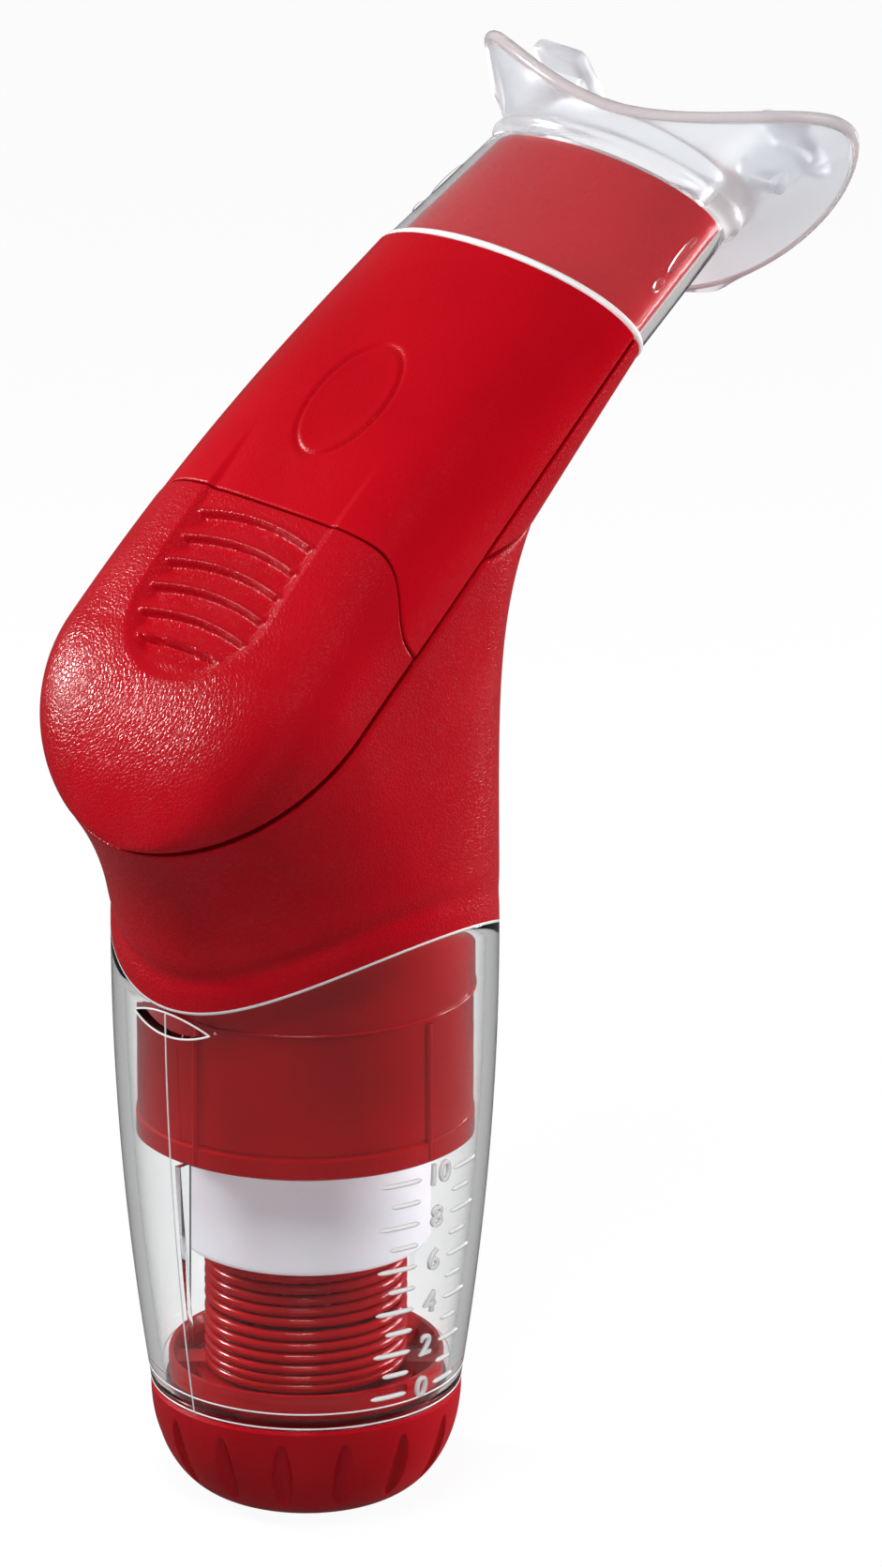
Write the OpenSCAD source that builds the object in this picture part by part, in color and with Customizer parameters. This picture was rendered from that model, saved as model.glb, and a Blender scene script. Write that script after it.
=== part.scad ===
// Hand-held breathing trainer for inhaling against a spring-loaded valve.
// A clear barrel stands upright on a turning knob. Inside it a nut climbs a spindle and
// presses a coil spring up against a fixed white sleeve, so the inhale valve opens harder.
// A leaning handle carries an oval port and a silicone mouthpiece, and its grip cover
// slides off the deck over the exhale flap.
// X is the way the handle leans, Z is up the barrel, and the origin is the knob's foot.

/* [Barrel] */
// Outer radius of the clear barrel at its widest
barrel_r = 23.6; // [21:0.05:26]
// Height at which the barrel is widest
barrel_wide_z = 73; // [67:0.5:79]
// Radius of the bow that draws the barrel in towards its foot
barrel_bow_r = 375; // [300:5:600]
// Height of the barrel's lower edge
barrel_z = 13.9; // [13.8:0.05:14.2]
// Wall of the barrel
barrel_wall = 1.6; // [1.2:0.1:2]
// Thickness of the barrel's floor
floor_t = 1.2; // [1:0.1:1.2]
// Depth of the neck that sits inside the knob's rim
neck_h = 1.7; // [1.6:0.05:1.8]
// Width of the knob's rim round the barrel's neck
rim_land = 1.5; // [1.4:0.1:2]
// Height of the curved seam at the barrel's two sides
seam_side_z = 77.6; // [75:0.2:80]
// Depth to which the seam dips at the front and the back
seam_dip = 9.2; // [6:0.2:11]
// Height of the middle of the air inlet
inlet_z = 66.1; // [63:0.1:67]
// Width of the air inlet
inlet_w = 13; // [8:0.5:16]
// Height of the air inlet
inlet_h = 3; // [2:0.1:3.6]
// Reach of the moulded ribs in from the barrel's outer face at the tube's lower edge
rib_reach = 3.4; // [2.6:0.1:4.4]
// Thickness of the moulded ribs
rib_t = 0.9; // [0.6:0.1:1.4]
// Height of the moulded ribs' lower ends
rib_z = 23; // [21:0.5:27]

/* [Inner tube and sleeve] */
// Gap between the barrel's bore and the inner tube's lower edge
tube_gap = 0.43; // [0.35:0.01:1]
// Wall of the inner tube
tube_wall = 1.5; // [1.2:0.1:1.8]
// Height of the inner tube's lower edge
tube_z = 47.5; // [46:0.1:48.5]
// Height of the ledge in the tube that the sleeve's flange sits on
ledge_z = 51; // [50.6:0.1:53]
// Reach of the ledge in from the tube's wall
ledge_w = 0.8; // [0.5:0.1:1.2]
// Height of the ledge's own band
ledge_h = 1.2; // [0.8:0.1:1.6]
// Wall of the white sleeve
sleeve_wall = 1.5; // [1.2:0.1:1.6]
// Height of the white sleeve's lower edge
sleeve_z = 32.9; // [31:0.1:35]
// Height of the white sleeve's top
sleeve_top_z = 85; // [81:0.5:85]
// Thickness of the sleeve's top plate and flange
sleeve_plate_t = 1.6; // [1.2:0.1:2]
// Number of air holes in the sleeve's flange
air_holes = 12; // [8:1:14]

/* [Knob] */
// Step of the knob's rim out from the barrel's lower edge
knob_step = 0.05; // [0:0.05:1]
// Radius of the flat foot that the trainer stands on
foot_r = 10; // [8:0.5:11]
// Height of the knob's rim above the foot
knob_h = 13.6; // [13:0.1:13.7]
// Wall of the knob
knob_wall = 2.2; // [1.8:0.1:2.6]
// Number of scooped flutes round the knob
flutes = 15; // [10:1:18]
// Radius of the cutter that scoops a flute
flute_r = 3.4; // [2.6:0.1:4.5]
// Depth of a flute at its middle
flute_depth = 0.8; // [0.4:0.1:1.2]
// Radius of the knob's hub through the barrel's floor
hub_r = 6; // [5.4:0.1:6.6]
// Radius of the shoulder under the thrust washer
shoulder_r = 9.2; // [8.6:0.1:10]
// Height of the hub's top
hub_top_z = 14.4; // [14.2:0.05:14.4]

/* [Load nut and spindle] */
// Radius of the spindle's threaded length
spindle_r = 3; // [2.6:0.1:3.4]
// Distance across the flats of the spindle's drive end
drive_af = 5; // [4.4:0.1:5.6]
// Height of the drive end's tip
drive_z = 4.5; // [4:0.1:6]
// Height of the nut's underside at the lowest load
nut_z = 14.5; // [14.5:0.05:15]
// Thickness of the nut's plate
nut_plate_t = 1.1; // [1:0.1:1.6]
// Gap between the nut's plate and the sleeve's bore
nut_gap = 0.4; // [0.3:0.05:0.9]
// Radius of the nut's hub
nut_hub_r = 6.5; // [5.5:0.1:8]
// Height of the nut's hub
nut_hub_h = 8.5; // [6:0.5:10]
// Gap between the nut's rim and the barrel's bore at the lowest load
rim_gap = 0.5; // [0.4:0.05:1]
// Wall of the nut's rim at its foot
rim_wall = 1.2; // [0.8:0.1:1.2]
// Height of the nut's rim
rim_h = 3.4; // [2.6:0.1:3.4]
// Width of the two arms that reach through the sleeve
arm_w = 4; // [3:0.1:5]
// Height of the two arms
arm_h = 2; // [1.5:0.1:2.4]
// Travel of the nut from the lowest to the highest load
load_travel = 28.8; // [24:0.1:28.8]

/* [Spring] */
// Gap between the load spring and the sleeve's bore
spring_gap = 1.7; // [1.3:0.1:2.4]
// Diameter of the spring's wire
wire_d = 0.72; // [0.6:0.02:0.9]
// Number of turns of the spring
turns = 46; // [30:1:48]

/* [Valves] */
// Lift of the inhale valve
valve_lift = 3; // [2:0.1:3]
// Height of the inhale valve's seat
seat_z = 91; // [89:0.5:91.5]
// Thickness of the seat plate
seat_t = 2; // [1.6:0.1:2.4]
// Width of the seat plate round its opening
seat_land = 7; // [6:0.1:9]
// Lap of the inhale valve's disc over the seat
poppet_lap = 1.8; // [1.4:0.1:2.8]
// Thickness of the inhale valve's disc
poppet_t = 1.8; // [1.4:0.1:2.2]
// Radius of the inhale valve's hub
poppet_hub_r = 5; // [4:0.1:6]
// Length of the hub below the seat
poppet_hub_h = 3.5; // [3:0.1:3.5]
// Distance from the seat plate down to the tube's seal ring
seal_drop = 7; // [5:0.5:9]
// Thickness of the seal under the disc
seal_t = 0.6; // [0.4:0.1:0.8]
// Radius of the exhale valve's seat
exhale_r = 9.5; // [8.5:0.1:10]
// Radius of the exhale opening
exhale_hole_r = 6; // [4:0.1:6.4]
// Thickness of the exhale seat
exhale_seat_t = 1.6; // [1.2:0.1:2]
// Radius of the exhale flap
flap_r = 7.8; // [7:0.1:8.4]
// Thickness of the exhale flap
flap_t = 0.8; // [0.6:0.1:1.2]
// Radius of the flap's hinge pin
pin_r = 0.8; // [0.6:0.05:1]

/* [Handle] */
// Lean of the handle from upright, in degrees
handle_lean = 51; // [48:1:54]
// Lean of the mouth port from upright, in degrees
port_lean = 60; // [56:1:64]
// Distance from the barrel's axis to the handle's reference point
handle_x = -2.7; // [-4:0.1:-1]
// Height of the handle's reference point
handle_z = 114.1; // [110:0.2:116]
// Distance from the reference point up to the port's ring
ring_h = 48.2; // [45:0.2:52]
// Distance from the reference point down to where the grip's dome starts
dome_h = 13.5; // [11:0.5:16]
// Length of the dome's rounded end
tip_r = 23.4; // [20:0.1:25]
// Step of the handle's half width at the dome in from the barrel's widest radius
dome_step = 0.6; // [0:0.1:1.6]
// Narrowing of the handle's half width from the dome to the ring
ring_step = 1.1; // [0:0.1:2]
// Depth of the covers above the parting plane at the ring
ring_t = 8.8; // [8.2:0.1:9.6]
// Depth of the covers above the parting plane at the dome
dome_t = 11.8; // [11:0.1:14]
// Bulge of the covers' depth halfway between the ring and the dome
mid_bulge = 2.4; // [0:0.1:3]
// Fall of the dome's rounded end, where 1 is an ellipse
tip_fall = 1.7; // [1:0.1:2]
// Squareness of the covers' section at the ring, where 2 is an ellipse
ring_square = 2.1; // [2:0.1:3]
// Squareness of the covers' section at the dome
dome_square = 3.9; // [2:0.1:4]
// Depth of the body below the parting plane along the handle
under_t = 12; // [11:0.1:13]
// Wall of the covers and of the body round its channel
shell_wall = 1.8; // [1.5:0.1:2.2]
// Thickness of the deck between the chamber and the grip cover
deck_t = 1.8; // [1.5:0.1:2.4]
// Rise of the line between face cover and grip cover at its middle
part_rise = 7.3; // [5:0.1:10]

/* [Thumb pad] */
// Half width of the thumb pad
pad_w = 10.8; // [8:0.2:13]
// Depth of the thumb pad
pad_depth = 0.5; // [0:0.05:0.7]
// Height at which the pad starts to sink into the face cover
pad_top_h = 17; // [10:0.5:22]
// Length over which the pad sinks to its depth
pad_fade_l = 10; // [4:0.5:14]
// Height at which the pad's round lower end starts
pad_low_h = -8; // [-12:0.5:-4]
// Height of the uppermost finger rib
crest_h = 3.9; // [2:0.1:5]
// Number of finger ribs
crests = 6; // [3:1:7]
// Pitch of the finger ribs
crest_pitch = 3.6; // [3:0.1:4.2]
// Drop of a finger rib's ends below its middle
crest_arch = 1.05; // [0:0.05:1.6]
// Depth of the scoop under a finger rib
scoop_depth = 0.6; // [0.1:0.05:0.8]
// Length of a scoop down the pad
scoop_l = 2.9; // [2:0.1:3.4]

/* [Mouthpiece] */
// Length of the mouth port beyond the ring
port_l = 19.8; // [17:0.2:22]
// Step of the mouth port's half width in from the ring's
port_step = 1.6; // [1.4:0.1:2.4]
// Half height of the mouth port at the ring
port_t = 7.4; // [7:0.1:7.8]
// Taper of the port, as tip over root
port_taper_share = 0.915; // [0.86:0.005:0.96]
// Wall of the mouth port
port_wall = 2; // [1.6:0.1:2.6]
// Wall of the mouthpiece's skirt
skirt_wall = 1.2; // [0.8:0.1:1.6]
// Half width of the mouthpiece's airway
airway_w = 14; // [11:0.5:15]
// Half height of the mouthpiece's airway
airway_t = 5.5; // [4:0.1:6]
// Half width of the lip flange
flange_w = 29.4; // [27:0.1:33]
// Reach of the lip flange above the port's axis
flange_up = 11.5; // [10:0.1:13]
// Reach of the lip flange below the port's axis
flange_down = 17.6; // [14:0.1:18]
// Distance from the ring to the middle of the lip flange
flange_h = 24.6; // [23.3:0.1:27]
// Distance that the lip flange's ends curve forward
flange_curl = 7.6; // [5:0.1:10]
// Thickness of the lip flange
flange_t = 1.8; // [1.4:0.1:2.4]
// Length of the bite blocks beyond the flange
bite_l = 8.5; // [8:0.5:13]
// Width of the bite blocks
bite_w = 9; // [8:0.5:12]
// Thickness of the bite blocks
bite_t = 2.4; // [1.8:0.1:3]

/* [Hidden] */
$fn = 96;

// Clearances
run_gap = 0.05;
end_gap = 0.04;
drive_gap = 0.08;
slide_gap = 0.3;
cover_gap = 0.12;
line_gap = 0.25;
skirt_gap = 0.2;
// Overrun of every cut past the face that it opens
over = 1;
quarter_turn = 90;

// Colours
red = [0.72, 0.03, 0.07];
dark_red = [0.6, 0.02, 0.05];
milk = [0.93, 0.9, 0.91];
clear = [0.85, 0.88, 0.9, 0.35];
rubber_grey = [0.25, 0.25, 0.27];
steel = [0.7, 0.71, 0.73];

// Places that follow from the driving sizes
dome_w = barrel_r - dome_step;
ring_w = dome_w - ring_step;
port_w = ring_w - port_step;
rib_r = barrel_at(tube_z) - rib_reach;
tube_r = barrel_at(tube_z) - barrel_wall - tube_gap;
tube_bore = tube_r - tube_wall;
rim_r = barrel_at(nut_z) - barrel_wall - rim_gap;
sleeve_r = rim_r - rim_wall - slide_gap;
sleeve_bore = sleeve_r - sleeve_wall;
nut_plate_r = sleeve_bore - nut_gap;
spring_r = sleeve_bore - spring_gap;
seat_hole_r = tube_bore - seat_land;
poppet_r = seat_hole_r + poppet_lap;
knob_r = barrel_at(barrel_z) + knob_step;
neck_r = knob_r - rim_land;
seam_r = (barrel_r * barrel_r + seam_dip * seam_dip) / (2 * seam_dip);
seam_centre_z = seam_side_z - seam_r;
floor_z = barrel_z - neck_h;
floor_top_z = floor_z + floor_t;
shoulder_drop = 0.8;
shoulder_z = floor_z - shoulder_drop;
washer_t = floor_z - end_gap - shoulder_z;
clip_t = 0.76;
clip_groove = 0.7;
slot_w = arm_w + 2 * slide_gap;
slot_top_z = nut_z + arm_h + load_travel + valve_lift + slide_gap;
guide_r = 5;
guide_flange_r = 7;
guide_flange_t = 1;
guide_l = 6;
spring_washer_t = 0.7;
spring_top_z = sleeve_top_z - sleeve_plate_t - spring_washer_t;
spring_z = nut_z + nut_plate_t;
poppet_z = seat_z + seal_t;
poppet_top_z = poppet_z + poppet_t;
poppet_hub_z = seat_z - poppet_hub_h;
spindle_neck_r = 2;
spindle_tip = 1.3;
seal_ring_d = 0.8;
seal_ring_z = seat_z - seat_t - seal_drop;
exhale_h = -14;
spigot_wall = 0.8;
exhale_spigot_r = exhale_hole_r + spigot_wall;
pin_reach = 1.08;
pin_x = exhale_r + pin_reach;
pin_rise = 1;
pin_z = exhale_seat_t + pin_rise;
knuckle_wall = 0.5;
knuckle_r = pin_r + knuckle_wall;
ear_y = flap_r / 2;
ear_t = 1.2;
rail_w = 1.2;
rail_h = 1.6;
rail_l = 14.4;
rail_low = 4;
plug_l = 3;
plug_share = 0.97;

// Curves of the barrel and of the knob
function barrel_at(z) = barrel_r - pow(max(0, barrel_wide_z - z), 2) / (2 * barrel_bow_r);
function knob_point(a, inset) =
    [foot_r + (knob_r - foot_r - inset) * sin(a), knob_h - (knob_h - inset) * cos(a)];

// Frame of the handle: h runs up the lean, l to the scale's side, n off the parting plane
function clip01(x) = min(1, max(0, x));
function mix(a, b, f) = a + (b - a) * f;
function lean_at(h) = mix(handle_lean, port_lean, clip01(h / ring_h));
function handle_point(h, l, n) =
    [handle_x + h * sin(handle_lean) - n * cos(lean_at(h)), -l,
     handle_z + h * cos(handle_lean) + n * sin(lean_at(h))];
function taper_at(h) = clip01((ring_h - h) / (ring_h + dome_h));
function half_w(h) = mix(ring_w, dome_w, taper_at(h));
function cover_t(h) =
    mix(ring_t, dome_t, taper_at(h)) + 4 * mid_bulge * taper_at(h) * (1 - taper_at(h));

// Superellipse section at an even polar angle, written as shares of its half axes
function square_at(h) = mix(ring_square, dome_square, taper_at(h));
function polar_share(a, p) = pow(pow(abs(cos(a)), p) + pow(abs(sin(a)), p), -1 / p);
function cos_share(a, h) = cos(a) * polar_share(a, square_at(h));
function sin_share(a, h) = sin(a) * polar_share(a, square_at(h));

module along_handle() {
    translate([handle_x, 0, handle_z])
        rotate([0, handle_lean, 0])
            children();
}

module on_deck(h) {
    along_handle()
        translate([0, 0, h])
            rotate([0, -90, 0])
                children();
}

module along_port() {
    translate([handle_x + ring_h * sin(handle_lean), 0, handle_z + ring_h * cos(handle_lean)])
        rotate([0, port_lean, 0])
            children();
}

// Ellipse as an outline, with its short axis along X
module oval(w, t) {
    polygon([for (i = [0 : 59]) [t * cos(6 * i), w * sin(6 * i)]]);
}

module ring(outer, inner, z, h) {
    translate([0, 0, z])
        difference() {
            cylinder(r = outer, h = h);
            translate([0, 0, -over])
                cylinder(r = inner, h = h + 2 * over);
        }
}

// Two triangles between four grid points, without the ones that a shared corner empties
function quad(a, b, c, d) =
    concat((a == b || b == c || a == c) ? [] : [[a, b, c]],
           (a == c || c == d || a == d) ? [] : [[a, c, d]]);

// Thick sheet between two grids of rows by columns; the last row may shrink to a point
module sheet(outer, inner, pointed) {
    rows = len(outer);
    cols = len(outer[0]);
    half = rows * cols;
    function at(side, r, c) = side * half + r * cols + ((pointed && r == rows - 1) ? 0 : c);
    points = concat([for (r = outer) for (p = r) p], [for (r = inner) for (p = r) p]);
    faces = concat(
        [for (r = [0 : rows - 2]) for (c = [0 : cols - 2])
            each quad(at(0, r, c), at(0, r, c + 1), at(0, r + 1, c + 1), at(0, r + 1, c))],
        [for (r = [0 : rows - 2]) for (c = [0 : cols - 2])
            each quad(at(1, r, c), at(1, r + 1, c), at(1, r + 1, c + 1), at(1, r, c + 1))],
        [for (r = [0 : rows - 2])
            each quad(at(0, r, 0), at(0, r + 1, 0), at(1, r + 1, 0), at(1, r, 0))],
        [for (r = [0 : rows - 2])
            each quad(at(0, r, cols - 1), at(1, r, cols - 1), at(1, r + 1, cols - 1),
                      at(0, r + 1, cols - 1))],
        [for (c = [0 : cols - 2])
            each quad(at(0, 0, c), at(1, 0, c), at(1, 0, c + 1), at(0, 0, c + 1))],
        pointed ? [] :
        [for (c = [0 : cols - 2])
            each quad(at(0, rows - 1, c), at(0, rows - 1, c + 1), at(1, rows - 1, c + 1),
                      at(1, rows - 1, c))]);
    polyhedron(points = points, faces = faces, convexity = 6);
}

// Body: a smooth skin from the parting plane's outline down to the barrel's seam
dome_steps = 9;
leg_steps = 6;
under_steps = 10;
skin_steps = 12;
neck_steps = 3;
columns = dome_steps + leg_steps + under_steps;
corner = dome_steps + leg_steps;
dome_turn = 80;
leg_turn = 118;
side_h = 14;
crotch_h = 34;
skin_low_z = seam_side_z - 2 * seam_dip;
skin_end_drop = 0.5;
near_start_share = 0.36;
near_end_share = 0.15;
far_end_share = 0.7;

function arc_of(k) = 90 * (1 - k / dome_steps);
function under_of(k) = 90 * (k - corner) / under_steps;
function edge_h(k) =
    k <= dome_steps ? -dome_h - tip_r * sin(arc_of(k)) :
    k <= corner ? mix(-dome_h, side_h, (k - dome_steps) / leg_steps) :
    mix(side_h, crotch_h, sin(under_of(k)));
function edge_turn(k) =
    k <= dome_steps ? dome_turn * k / dome_steps :
    k <= corner ? mix(dome_turn, leg_turn, (k - dome_steps) / leg_steps) :
    mix(leg_turn, 180, (k - corner) / under_steps);
function depth_at(h) = mix(ring_t, under_t, clip01(2 * (ring_h - h) / ring_h));
function under_point(k, h) =
    handle_point(h, half_w(h) * cos(under_of(k)), -depth_at(h) * sin(under_of(k)));
function edge_point(k) =
    k <= dome_steps ? handle_point(edge_h(k), dome_w * cos(arc_of(k)), 0) :
    k <= corner ? handle_point(edge_h(k), half_w(edge_h(k)), 0) :
    under_point(k, edge_h(k));
// Angle of the skin's start, from square to the parting plane round to down the handle
function start_angle(k) =
    k <= dome_steps ? 0 :
    k <= corner ? 45 * pow((k - dome_steps) / leg_steps, 1.5) :
    45 + 45 * sin(under_of(k));
function start_way(k) =
    [cos(handle_lean) * cos(start_angle(k)) - sin(handle_lean) * sin(start_angle(k)), 0,
     -sin(handle_lean) * cos(start_angle(k)) - cos(handle_lean) * sin(start_angle(k))];
function seam_z(x) = seam_centre_z + sqrt(seam_r * seam_r - x * x);
function seam_point(k) =
    [-barrel_r * cos(edge_turn(k)), -barrel_r * sin(edge_turn(k)),
     seam_z(barrel_r * cos(edge_turn(k))) - skin_end_drop];
function bend_share(k) = k <= corner ? 0 : sin(under_of(k));
function bezier(a, b, c, d, t) =
    pow(1 - t, 3) * a + 3 * t * pow(1 - t, 2) * b + 3 * t * t * (1 - t) * c + pow(t, 3) * d;
function skin_point(k, j) =
    let (a = edge_point(k), d = seam_point(k), reach = norm(d - a),
         b = a + reach * mix(near_start_share, near_end_share, bend_share(k)) * start_way(k),
         c = d + [0, 0, reach * mix(near_start_share, far_end_share, bend_share(k))])
    bezier(a, b, c, d, j / skin_steps);
function mirrored(p) = [p[0], -p[1], p[2]];

module body_skin() {
    around = 2 * columns;
    rows = skin_steps + 2;
    function source(k) = k <= columns ? k : around - k;
    function side(k, p) = k <= columns ? p : mirrored(p);
    foot = [for (k = [0 : around - 1])
        side(k, [seam_point(source(k))[0], seam_point(source(k))[1], skin_low_z])];
    skin = [for (k = [0 : around - 1]) for (j = [0 : skin_steps + 1])
        j > skin_steps ? foot[k] : side(k, skin_point(source(k), j))];
    last = around - corner;
    neck = [for (k = [corner : last]) for (i = [1 : neck_steps])
        side(k, under_point(source(k),
                            mix(edge_h(source(k)), ring_h, i / neck_steps)))];
    function s(k, j) = (k % around) * rows + j;
    function e(k, i) = i == 0 ? s(k, 0) : around * rows + (k - corner) * neck_steps + i - 1;
    polyhedron(
        points = concat(skin, neck),
        faces = concat(
            [for (k = [0 : around - 1]) for (j = [0 : rows - 2])
                each quad(s(k, j), s(k + 1, j), s(k + 1, j + 1), s(k, j + 1))],
            [for (k = [corner : last - 1]) for (i = [0 : neck_steps - 1])
                each quad(e(k, i + 1), e(k + 1, i + 1), e(k + 1, i), e(k, i))],
            [concat([for (k = [around - 1 : -1 : last]) s(k, 0)],
                    [for (i = [1 : neck_steps]) e(last, i)],
                    [for (i = [neck_steps : -1 : 1]) e(corner, i)],
                    [for (k = [corner : -1 : 0]) s(k, 0)])],
            [[for (k = [last : -1 : corner]) e(k, neck_steps)]],
            [[for (k = [0 : around - 1]) s(k, rows - 1)]]),
        convexity = 6);
}

module under_deck(depth) {
    along_handle()
        translate([depth, -2 * barrel_r, -2 * ring_h])
            cube([4 * barrel_r, 4 * barrel_r, 4 * ring_h]);
}

module main_body() {
    color(red)
        union() {
            difference() {
                body_skin();
                translate([0, 2 * barrel_r, seam_centre_z])
                    rotate([90, 0, 0])
                        cylinder(r = seam_r, h = 4 * barrel_r, $fn = 180);
                intersection() {
                    translate([0, 0, skin_low_z - over])
                        cylinder(r = tube_r, h = handle_z - skin_low_z);
                    under_deck(deck_t);
                }
                along_handle()
                    translate([0, 0, part_rise / 2])
                        linear_extrude(height = ring_h)
                            oval(half_w(0) - 1.5 * shell_wall, ring_t - shell_wall);
                on_deck(exhale_h)
                    translate([0, 0, -deck_t - over])
                        cylinder(r = exhale_spigot_r, h = deck_t + 2 * over);
            }
            for (s = [-1, 1])
                on_deck(exhale_h)
                    translate([0, s * (dome_w - 2 * shell_wall) - rail_w / 2, 0])
                        translate([-rail_low, 0, -deck_t / 2])
                            cube([rail_l, rail_w, rail_h + deck_t / 2]);
        }
}

// Covers: their section at any height, the dome's rounded end included
function end_share(h) = sqrt(1 - pow(clip01((-dome_h - h) / tip_r), 2));
function cover_w(h) = half_w(h) * end_share(h);
function cover_depth(h) = cover_t(h) * pow(end_share(h), tip_fall);

// Thumb pad and its finger scoops, as a depth into the covers
pad_wall = 1.4;
scoop_wall = 0.6;
crest_land = 1.8;
function pad_half(h) = sqrt(max(0, pad_w * pad_w - pow(max(0, pad_low_h - h), 2)));
function crest_at(i, l) =
    crest_h - i * crest_pitch - crest_arch * min(1, pow(l / (pad_w - crest_land), 2));
function scoop_share(drop) =
    min(clip01(drop / scoop_wall), clip01((scoop_l - drop) / (scoop_l - scoop_wall)));
function scoops_share(h, l) =
    max([for (i = [0 : crests - 1]) scoop_share(crest_at(i, l) - h)])
    * clip01((pad_half(h) - crest_land - abs(l)) / pad_wall + 1);
function relief(h, l) =
    pad_depth * clip01((pad_half(h) - abs(l)) / pad_wall) * clip01((pad_top_h - h) / pad_fade_l)
    + scoop_depth * scoops_share(h, l);
function cover_point(h, a, inset) =
    handle_point(h < -dome_h ? mix(-dome_h, h, 1 - inset / tip_r) : h,
                 (cover_w(h) - inset * end_share(h)) * cos_share(a, h),
                 (cover_depth(h) - inset * pow(end_share(h), tip_fall)) * sin_share(a, h));
function outer_point(h, a) = cover_point(h, a, relief(h, cover_w(h) * cos_share(a, h)));

// Line between face cover and grip cover, as a height up the handle
part_flat = 13;
part_drop = 4 * line_gap;
function part_h(a) = part_rise * (1 - pow(abs(cos_share(a, part_rise)), part_flat)) - part_drop;
cover_cols = 40;
function cover_angle(c) = 180 * c / cover_cols;

face_rows = 10;
function face_h(r, a) = mix(part_h(a) + line_gap / 2, ring_h, r / face_rows);

module face_cover() {
    rows = [0 : face_rows];
    cols = [0 : cover_cols];
    outer = [for (r = rows) [for (c = cols)
        outer_point(face_h(r, cover_angle(c)), cover_angle(c))]];
    inner = [for (r = rows) [for (c = cols)
        cover_point(face_h(r, cover_angle(c)), cover_angle(c), shell_wall)]];
    color(red)
        sheet(outer, inner, false);
}

// Grip cover: rows at the part line, at the scoops' crests, walls and ends, then round the end
tip_rows = 7;
pad_rows = [for (i = [0 : crests - 1]) for (d = [0, scoop_wall, scoop_l]) [i, d]];
grip_rows = len(pad_rows) + tip_rows;
pad_end_h = pad_low_h - pad_w;
function grip_lift(p) = p + cover_gap * [-cos(handle_lean), 0, sin(handle_lean)];
function squeezed(h, a) =
    h < -dome_h ? h :
    mix(-dome_h, part_h(a), (h + dome_h) / (part_rise - part_drop + dome_h));
function tip_h(r) =
    let (start = asin((-dome_h - pad_end_h) / tip_r))
    -dome_h - tip_r * sin(mix(start, quarter_turn, r / tip_rows));
function grip_h(r, a) =
    r == 0 ? part_h(a) - line_gap / 2 :
    r > len(pad_rows) ? tip_h(r - len(pad_rows)) :
    squeezed(crest_at(pad_rows[r - 1][0], cover_w(0) * cos_share(a, 0)) - pad_rows[r - 1][1], a);

module grip_cover() {
    rows = [0 : grip_rows];
    cols = [cover_cols : -1 : 0];
    outer = [for (r = rows) [for (c = cols)
        grip_lift(outer_point(grip_h(r, cover_angle(c)), cover_angle(c)))]];
    inner = [for (r = rows) [for (c = cols)
        grip_lift(cover_point(grip_h(r, cover_angle(c)), cover_angle(c), shell_wall))]];
    color(red)
        sheet(outer, inner, true);
}

module mouth_port() {
    color(red)
        along_port()
            difference() {
                union() {
                    linear_extrude(height = port_l, scale = port_taper_share)
                        oval(port_w, port_t);
                    translate([0, 0, -plug_l])
                        linear_extrude(height = plug_l)
                            oval(plug_share * (port_w - 2 * skirt_gap),
                                 plug_share * (port_t - 2 * skirt_gap) - 2 * skirt_gap);
                }
                translate([0, 0, -plug_l - over])
                    linear_extrude(height = port_l + plug_l + 2 * over, scale = port_taper_share)
                        oval(port_w - port_wall, port_t - port_wall);
            }
}

// Mouthpiece, in the port's frame
skirt_w = port_w + skirt_gap + skirt_wall;
skirt_t = port_t + skirt_gap + skirt_wall;
flange_cols = 60;
flange_rows = 6;
flange_round_share = 2 / 2.3;
function flange_bow(y) = flange_curl * pow(y / flange_w, 2);
function flange_edge(a) =
    [-(sin(a) > 0 ? flange_up : flange_down) * sign(sin(a)) * pow(abs(sin(a)), flange_round_share),
     flange_w * sign(cos(a)) * pow(abs(cos(a)), flange_round_share)];
function flange_hole(a) =
    [-(airway_t + skirt_wall) * sin(a), (airway_w + skirt_wall) * cos(a)];
neck_top_h = flange_h + flange_bow(airway_w + skirt_wall) + flange_t / 2;
function flange_point(a, f, side) =
    let (p = mix(flange_hole(a), flange_edge(a), f))
    [p[0], p[1], flange_h + flange_bow(p[1]) + side * flange_t];

module lip_flange() {
    loop = concat([for (r = [0 : flange_rows]) [r / flange_rows, 0]],
                  [for (r = [flange_rows : -1 : 0]) [r / flange_rows, 1]]);
    n = len(loop);
    function at(c, r) = (c % flange_cols) * n + r % n;
    polyhedron(
        points = [for (c = [0 : flange_cols - 1]) for (q = loop)
            flange_point(360 * c / flange_cols, q[0], q[1])],
        faces = [for (c = [0 : flange_cols - 1]) for (r = [0 : n - 1])
            each quad(at(c, r), at(c, r + 1), at(c + 1, r + 1), at(c + 1, r))],
        convexity = 6);
}

module bite_block() {
    root = flange_h + flange_t / 2;
    translate([-bite_t / 2, airway_w - bite_w / 8, root])
        cube([bite_t, bite_w, bite_l + flange_t / 2]);
    translate([-2 * bite_t, airway_w - bite_w / 8, root + bite_l + flange_t / 2 - bite_t / 2])
        cube([4 * bite_t, bite_w, bite_t / 2 + flange_t / 2]);
}

module skirt() {
    difference() {
        translate([0, 0, skirt_gap])
            linear_extrude(height = port_l, scale = port_taper_share)
                oval(skirt_w, skirt_t);
        translate([0, 0, -over])
            linear_extrude(height = port_l + over + skirt_gap, scale = port_taper_share)
                oval(port_w + skirt_gap, port_t + skirt_gap);
    }
}

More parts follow.
